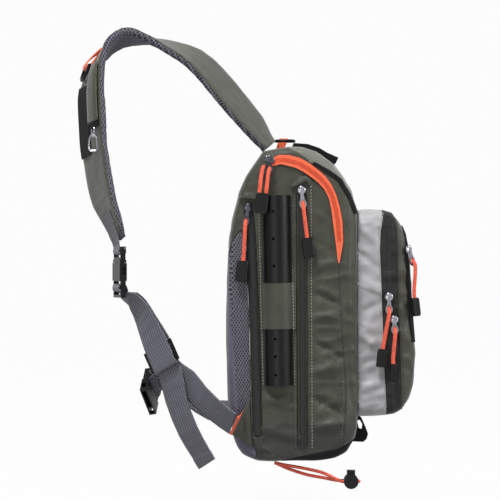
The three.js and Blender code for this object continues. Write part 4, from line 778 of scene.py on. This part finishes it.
def cord_curve(name, line, diameter, look):
    curve = bpy.data.curves.new(name, "CURVE")
    curve.dimensions = "3D"
    curve.bevel_depth = diameter / 2
    curve.bevel_resolution = 3
    curve.use_fill_caps = True
    spline = curve.splines.new("POLY")
    spline.points.add(len(line) - 1)
    for point, place in zip(spline.points, line):
        point.co = (*place, 1)
    curve.materials.append(LOOKS[look])
    made = bpy.data.objects.new(name, curve)
    scene.collection.objects.link(made)
    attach(made, "root")
    return made


def on_panel(x, z, out):
    return Vector((x, -half_width(z) - out, z))


def on_pocket_side(x, z, out):
    return Vector((x, -pocket_half(z) - out, z))


def on_pocket_front(x, z, out):
    aside = out * math.sin(FRONT_PULL_TURN)
    return Vector((x + out * math.cos(FRONT_PULL_TURN), FRONT_PULL_PLACE * pocket_half(z) - aside, z))


# Each pull: its seat, the surface it lies on and its lift from it, how far its cords are aside, the
# places of the tab's hole, the cord's end and the grip's foot as shares of the reach forward and
# down, the grip's width, and how far the cord stands off where it isn't beside the tab
Pull = namedtuple("Pull", "name seat surface lift asides hole end foot grip stand")
PULLS = [
    Pull("main", (body_x(0.327), body_z(0.957)), on_panel, ZIP_PROUD + 2 * GAP, (-4.6 * MM, 4.6 * MM),
         (-0.04, 0.12), (-0.09, 0.46), (-0.122, 0.735), 18 * MM, 17.5 * MM),
    Pull("back", (body_x(0.165), body_z(0.805)), on_panel, COIL_PROUD + 2 * GAP, (0,),
         (-0.03, 0.19), (-0.067, 0.727), (-0.1, 1.01), 16.6 * MM, None),
    Pull("mid", (body_x(0.572), body_z(0.86)), on_panel, COIL_PROUD + 2 * GAP, (0,),
         (0.02, 0.19), (0.075, 0.65), (0.11, 0.92), 16 * MM, None),
    Pull("pocket_a", (pocket_x(0.54), pocket_z(0.58)), on_pocket_side, GAP, (0,),
         (0.0, 0.17), (-0.085, 0.71), (-0.11, 0.955), 15 * MM, None),
    Pull("pocket_b", (pocket_x(0.625), pocket_z(0.47)), on_pocket_side, GAP, (0,),
         (0.01, 0.135), (-0.015, 0.6), (-0.012, 0.82), 9 * MM, None),
    Pull("front", (pocket_x(0.835), pocket_z(0.81)), on_pocket_front, SKIN + 5 * GAP, (0,),
         (0.03, 0.16), (0.045, 0.66), (0.07, 0.91), 13.5 * MM, None),
]


SLIDER_LOOKS = {"main": "gunmetal", "back": "gunmetal"}

# A slider's head and nose: half heights, half thicknesses and the nose's place and share of the width
HEAD_TALL = 5.6 * MM
HEAD_THICK = 2.2 * MM
NOSE_TALL = 2.4 * MM
NOSE_THICK = 1.6 * MM
NOSE_OUT = 0.4 * MM
NOSE_UP = 3.4 * MM
NOSE_SHARE = 0.55

# Its tab: half its thickness, the ring's room beside the cords, and the bar from the head to the ring
TAB_HALF = 0.7 * TAB_PLATE
RING_ROOM = 2.2 * MM
RING_OVERLAP = 0.4 * MM
RING_SIDES = 28
BAR_START = 2.0 * MM
BAR_NARROW = 1.4 * MM
BAR_MIDDLE = 1.9 * MM
BAR_END_SHARE = 0.62


def make_slider(name, axes, hole_drop, asides):
    """A slider's rounded head and nose, and a tab that widens to a ring round the cord"""
    mesh = bmesh.new()
    wide = max(asides) + PULL_THICK / 2 + RING_ROOM

    def lump(place, size):
        scale = Matrix.Diagonal((*size, 1))
        bmesh.ops.create_uvsphere(mesh, u_segments=20, v_segments=12, radius=1,
                                  matrix=axes @ Matrix.Translation(place) @ scale)

    def prong(rows):
        """A flat bar through rows of height and half width"""
        rings = []
        for rise, half in rows:
            rings.append([mesh.verts.new(axes @ Vector((a * half, b * TAB_HALF, rise)))
                          for a, b in ((-1, -1), (1, -1), (1, 1), (-1, 1))])
        for low, high in zip(rings, rings[1:]):
            for k in range(4):
                mesh.faces.new((low[k], low[(k + 1) % 4], high[(k + 1) % 4], high[k]))
        mesh.faces.new(rings[0][::-1])
        mesh.faces.new(rings[-1])

    head = HEAD_HALF if len(asides) == 1 else WIDE_HEAD_HALF
    lump((0, -HEAD_THICK, 0), (head, HEAD_THICK, HEAD_TALL))
    lump((0, -NOSE_OUT, NOSE_UP), (NOSE_SHARE * head, NOSE_THICK, NOSE_TALL))
    reach = hole_drop - wide - RING_OVERLAP
    prong([(BAR_START, BAR_NARROW), (-0.35 * reach, BAR_MIDDLE), (-reach, BAR_END_SHARE * wide)])
    inner = wide - TAB_RING
    rings = []
    for i in range(RING_SIDES):
        turn = 2 * math.pi * i / RING_SIDES
        c, s = math.cos(turn), math.sin(turn)
        rings.append([mesh.verts.new(axes @ Vector((c * w, y, s * h - hole_drop)))
                      for w, h, y in ((wide, RING_HEIGHT + TAB_RING, -TAB_HALF),
                                      (wide, RING_HEIGHT + TAB_RING, TAB_HALF),
                                      (inner, RING_HEIGHT, TAB_HALF), (inner, RING_HEIGHT, -TAB_HALF))])
    for i in range(RING_SIDES):
        low, high = rings[i], rings[(i + 1) % RING_SIDES]
        for k in range(4):
            mesh.faces.new((low[k], low[(k + 1) % 4], high[(k + 1) % 4], high[k]))
    bmesh.ops.recalc_face_normals(mesh, faces=mesh.faces)
    data = bpy.data.meshes.new(f"tab_{name}")
    mesh.to_mesh(data)
    mesh.free()
    look = SLIDER_LOOKS.get(name, "steel")
    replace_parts(piece(f"tab_{name}", data, [look]), f"slider_{name}")


# How a cord runs: outwards and up from the tab's hole in cord thicknesses, and its heights over the
# grip's top; then the points of the drawn line for each stretch of a pull and of the loop
CORD_START = [(-0.75, 0.9), (0, 0), (0.85, -1.05)]
CORD_END = (1.6 * PULL_CORD, 0, -0.8 * BORE_DEPTH)
PULL_POINTS = 8
LOOP_POINTS = 5


def make_pull(pull):
    """A slider with its tab, and the cords from the tab to the grip"""
    name, seat, spot, asides = pull.name, pull.seat, pull.surface, pull.asides

    def place(share, out):
        return spot(seat[0] + share[0] * PULL_REACH, seat[1] - share[1] * PULL_REACH, out)

    def frame_between(top, bottom):
        up = (top - bottom).normalized()
        outwards = spot(seat[0], seat[1], 1) - spot(seat[0], seat[1], 0)
        across = outwards.cross(up).normalized()
        axes = Matrix((across, up.cross(across), up)).transposed().to_4x4()
        axes.translation = top
        return axes

    tab_out = pull.lift + SLIDER_THICKNESS + TAB_PLATE / 2
    seat_place = place((0, 0), tab_out)
    hole_place = place(pull.hole, tab_out)
    tab_frame = frame_between(seat_place, hole_place)
    hole_drop = (seat_place - hole_place).length
    make_slider(name, tab_frame, hole_drop, asides)
    hang = pull.stand if pull.stand else tab_out + PULL_CORD / 2
    grip_frame = frame_between(place(pull.end, hang), place(pull.foot, hang))
    spread = pull.grip / 4 if len(asides) > 1 else 0
    for i, aside in enumerate(asides):
        side = (aside > 0) - (aside < 0)
        points = [tab_frame @ Vector((aside, out * PULL_CORD, up * PULL_CORD - hole_drop))
                  for out, up in CORD_START]
        points += [grip_frame @ Vector((side * spread, 0, rise)) for rise in CORD_END]
        line = smooth_line(points, PULL_POINTS)
        label = f"pull_{name}_{i + 1}" if len(asides) > 1 else f"pull_{name}"
        made = cord_curve(f"cord_{label}", line, PULL_THICK, "orange_cord")
        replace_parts(made, label)


# The loop's strands: shares of its reach and drop, and of the distance between its strands
LOOP_OUT = [(0.0, 0.0, 0.35), (0.12, 0.1, 0.5), (0.4, 0.3, 0.8), (0.64, 0.54, 1), (0.8, 0.86, 1),
            (0.89, 1, 1), (0.97, 1, 1)]
LOOP_BACK = [(0.97, 1, 1), (0.89, 1, 1), (0.8, 0.97, 1), (0.64, 0.84, 1), (0.42, 0.66, 0.8),
             (0.16, 0.3, 0.5), (0.02, 0.03, 0.35)]


def make_rod_loop():
    start = Vector((body_x(LOOP_FORWARD), -LOOP_ASIDE * BODY_WIDTH, BODY_BOTTOM - LOOP_LOW))

    def strand(side, rows):
        return [start + Vector((reach * LOOP_REACH, -side * apart * STRAND_GAP / 2, -drop * LOOP_DROP))
                for reach, drop, apart in rows]

    lock = start + Vector((LOOP_REACH, 0, -LOOP_DROP))
    half = STRAND_GAP / 2
    centre = lock + Vector((LOCK_RADIUS - half + LOCK_SLACK, 0, 0))
    turns = []
    for degrees in LOCK_TURNS:
        turn = math.radians(degrees)
        turns.append(centre + Vector((half * math.cos(turn), -half * math.sin(turn), 0)))
    line = smooth_line([*strand(1, LOOP_OUT), *turns, *strand(-1, LOOP_BACK)], LOOP_POINTS)
    made = cord_curve("cord_shock_cord", line, SHOCK_THICK, "orange_cord")
    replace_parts(made, "shock_cord")


# Where rays towards the side start, the least sideways share of a face that takes a stitch, and the
# distance between the points of a seam
FAR_OUT = 0.5
STEEPEST = 0.25
WELT_STEP = 6 * MM


class Surface:
    """Places on the outside of some pieces, found from the side with the rod tube"""

    def __init__(self, objects):
        verts, faces = [], []
        for thing in objects:
            base = len(verts)
            verts += [v.co.copy() for v in thing.data.vertices]
            faces += [[base + i for i in p.vertices] for p in thing.data.polygons]
        self.tree = BVHTree.FromPolygons(verts, faces)

    def spot(self, x, z):
        """The place and outward direction of the cloth at a place of the side view"""
        hit, normal, _, _ = self.tree.ray_cast(Vector((x, -FAR_OUT, z)), Vector((0, 1, 0)))
        if hit is None:
            return None
        if normal.y > 0:
            normal = -normal
        return hit, normal


def stations(line, step):
    """Places and directions along a flat line, a step apart"""
    found = []
    left = 0.0
    for (ax, az), (bx, bz) in zip(line, line[1:]):
        length = math.hypot(bx - ax, bz - az)
        while left < length:
            t = left / length
            place = (ax + (bx - ax) * t, az + (bz - az) * t)
            found.append((*place, (bx - ax) / length, (bz - az) / length))
            left += step
        left -= length
    return found


def bars(name, surface, line, step, along, across, high, look, slot, lift=0.0):
    """A row of small blocks on the cloth: stitches along a seam, or the coil of a zip"""
    mesh = bmesh.new()
    for x, z, dx, dz in stations(line, step):
        found = surface.spot(x, z)
        if found is None or abs(found[1].y) < STEEPEST:
            continue
        place, out = found
        run = Vector((dx, 0, dz))
        run = (run - run.dot(out) * out).normalized()
        wide = out.cross(run)
        axes = Matrix((run * along, wide * across, out * high)).transposed().to_4x4()
        axes.translation = place + out * lift
        bmesh.ops.create_cube(mesh, size=1.0, matrix=axes)
    made = bpy.data.meshes.new(name)
    mesh.to_mesh(made)
    mesh.free()
    if not made.polygons:
        return None
    return piece(name, made, [look], smooth=False)


def welt(name, surface, line, radius, look):
    """A thin raised seam along a line of the side view"""
    points = []
    for x, z, _, _ in stations(line, WELT_STEP):
        found = surface.spot(x, z)
        if found:
            points.append(found[0])
    if len(points) < 3:
        return None
    curve = bpy.data.curves.new(name, "CURVE")
    curve.dimensions = "3D"
    curve.bevel_depth = radius
    curve.bevel_resolution = 2
    spline = curve.splines.new("POLY")
    spline.points.add(len(points) - 1)
    for point, place in zip(spline.points, points):
        point.co = (*place, 1)
    thing = bpy.data.objects.new(name, curve)
    scene.collection.objects.link(thing)
    mesh = bpy.data.meshes.new_from_object(thing)
    bpy.data.objects.remove(thing)
    return piece(name, mesh, [look])


# Lines of the body and of the pocket, in shares of their depth and height
MAIN_ZIP = [(0.341, 0.947), (0.409, 0.957), (0.473, 0.954), (0.546, 0.946), (0.605, 0.933), (0.678, 0.911),
            (0.726, 0.894), (0.773, 0.87), (0.811, 0.837), (0.834, 0.797), (0.849, 0.756), (0.861, 0.694)]
BACK_ZIP = [(0.163, 0.815), (0.185, 0.732), (0.197, 0.637), (0.219, 0.416), (0.23, 0.258), (0.238, 0.085)]
MID_ZIP = [(0.572, 0.852), (0.574, 0.732), (0.576, 0.511), (0.578, 0.29), (0.58, 0.046)]
TUBE_LEFT = [(0.243, 0.843), (0.281, 0.242)]
TUBE_RIGHT = [(0.492, 0.843), (0.518, 0.242)]
MID_LEFT = [(0.521, 0.86), (0.527, 0.045)]
MID_RIGHT = [(0.645, 0.87), (0.652, 0.045)]
POCKET_SEAM = [(0.445, 0.985), (0.395, 0.9), (0.378, 0.816), (0.412, 0.575), (0.446, 0.265), (0.49, 0.02)]
POCKET_EDGE = [(0.69, 0.95), (0.70, 0.816), (0.708, 0.575), (0.742, 0.265), (0.776, 0.03)]
POCKET_COIL = [(0.53, 0.985), (0.535, 0.816), (0.556, 0.575), (0.59, 0.265), (0.63, 0.02)]


def beside(line, aside):
    """A line of the side view moved across itself"""
    moved = []
    for i, (x, z) in enumerate(line):
        (ax, az), (bx, bz) = line[max(0, i - 1)], line[min(len(line) - 1, i + 1)]
        length = math.hypot(bx - ax, bz - az)
        moved.append((x - (bz - az) / length * aside, z + (bx - ax) / length * aside))
    return moved


# Stitches: their step, length, width, height and lift
STITCH = {"step": 4.4 * MM, "along": 2.4 * MM, "across": 1.0 * MM, "high": 0.8 * MM, "lift": 0.4 * MM}

# Coils of the zips: their step, length and height, their widths, and how far aside their tapes end
COIL = {"step": 2 * MM, "along": 1.2 * MM, "high": 0.9 * MM}
COIL_WIDE = 5 * MM
MAIN_COIL_WIDE = 5.5 * MM
BACK_TAPE = 6 * MM
MID_TAPE = 7 * MM
SEAM_RADIUS = 0.9 * MM
TAPE_RADIUS = 0.8 * MM

# Lines of stitches on the body's side, in shares of its depth and height
STITCH_LINES = [
    ("stitches_tube_left", TUBE_LEFT, "stitch"),
    ("stitches_tube_right", TUBE_RIGHT, "stitch"),
    ("stitches_mid_left", MID_LEFT, "dark_stitch"),
    ("stitches_side", [(u - 0.02, v) for u, v in SEAM], "dark_stitch"),
    ("stitches_mid_right", MID_RIGHT, "stitch"),
]


def make_details(skins):
    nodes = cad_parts
    side = Surface([skins["body"], skins["bottom"], skins["pad"], nodes["main_zip"], nodes["back_zip"],
                    nodes["mid_zip"], nodes["tube_band"]])
    pocket = Surface([skins["gusset"], skins["pocket_zip"], skins["pocket"]])
    for name, line, look in STITCH_LINES:
        bars(name, side, on_body(line), look=look, slot="olive", **STITCH)
    welt("seam_side", side, on_body(SEAM), SEAM_RADIUS, "olive_low")
    bright = {"across": MAIN_COIL_WIDE, "look": "orange_coil", "slot": "orange", **COIL}
    dark = {"across": COIL_WIDE, "look": "coil", "slot": "black_cloth", **COIL}
    bars("coil_main", side, on_body(MAIN_ZIP), **bright)
    bars("coil_back", side, on_body(BACK_ZIP), **dark)
    bars("coil_mid", side, on_body(MID_ZIP), **dark)
    bars("coil_pocket", pocket, on_pocket(POCKET_COIL), **dark)
    for label, line, reach in (("back", BACK_ZIP, BACK_TAPE), ("mid", MID_ZIP, MID_TAPE)):
        for i, aside in enumerate((-reach, reach)):
            edge = beside(on_body(line), aside)
            welt(f"tape_{label}_{i}", side, edge, TAPE_RADIUS, "zip_tape")
    welt("seam_gusset", pocket, on_pocket(POCKET_SEAM), TAPE_RADIUS, "silver_cloth")
    welt("seam_pocket", pocket, on_pocket(POCKET_EDGE), SEAM_RADIUS, "olive_low")
    inside = on_pocket([(u + 0.05, v) for u, v in POCKET_EDGE])
    bars("stitches_pocket", pocket, inside, look="dark_stitch", slot="olive", **STITCH)


make_camera()
make_studio()
for pull in PULLS:
    make_pull(pull)
make_rod_loop()
paint_nodes()
make_webbing()
made_skins = make_skins()
make_details(made_skins)
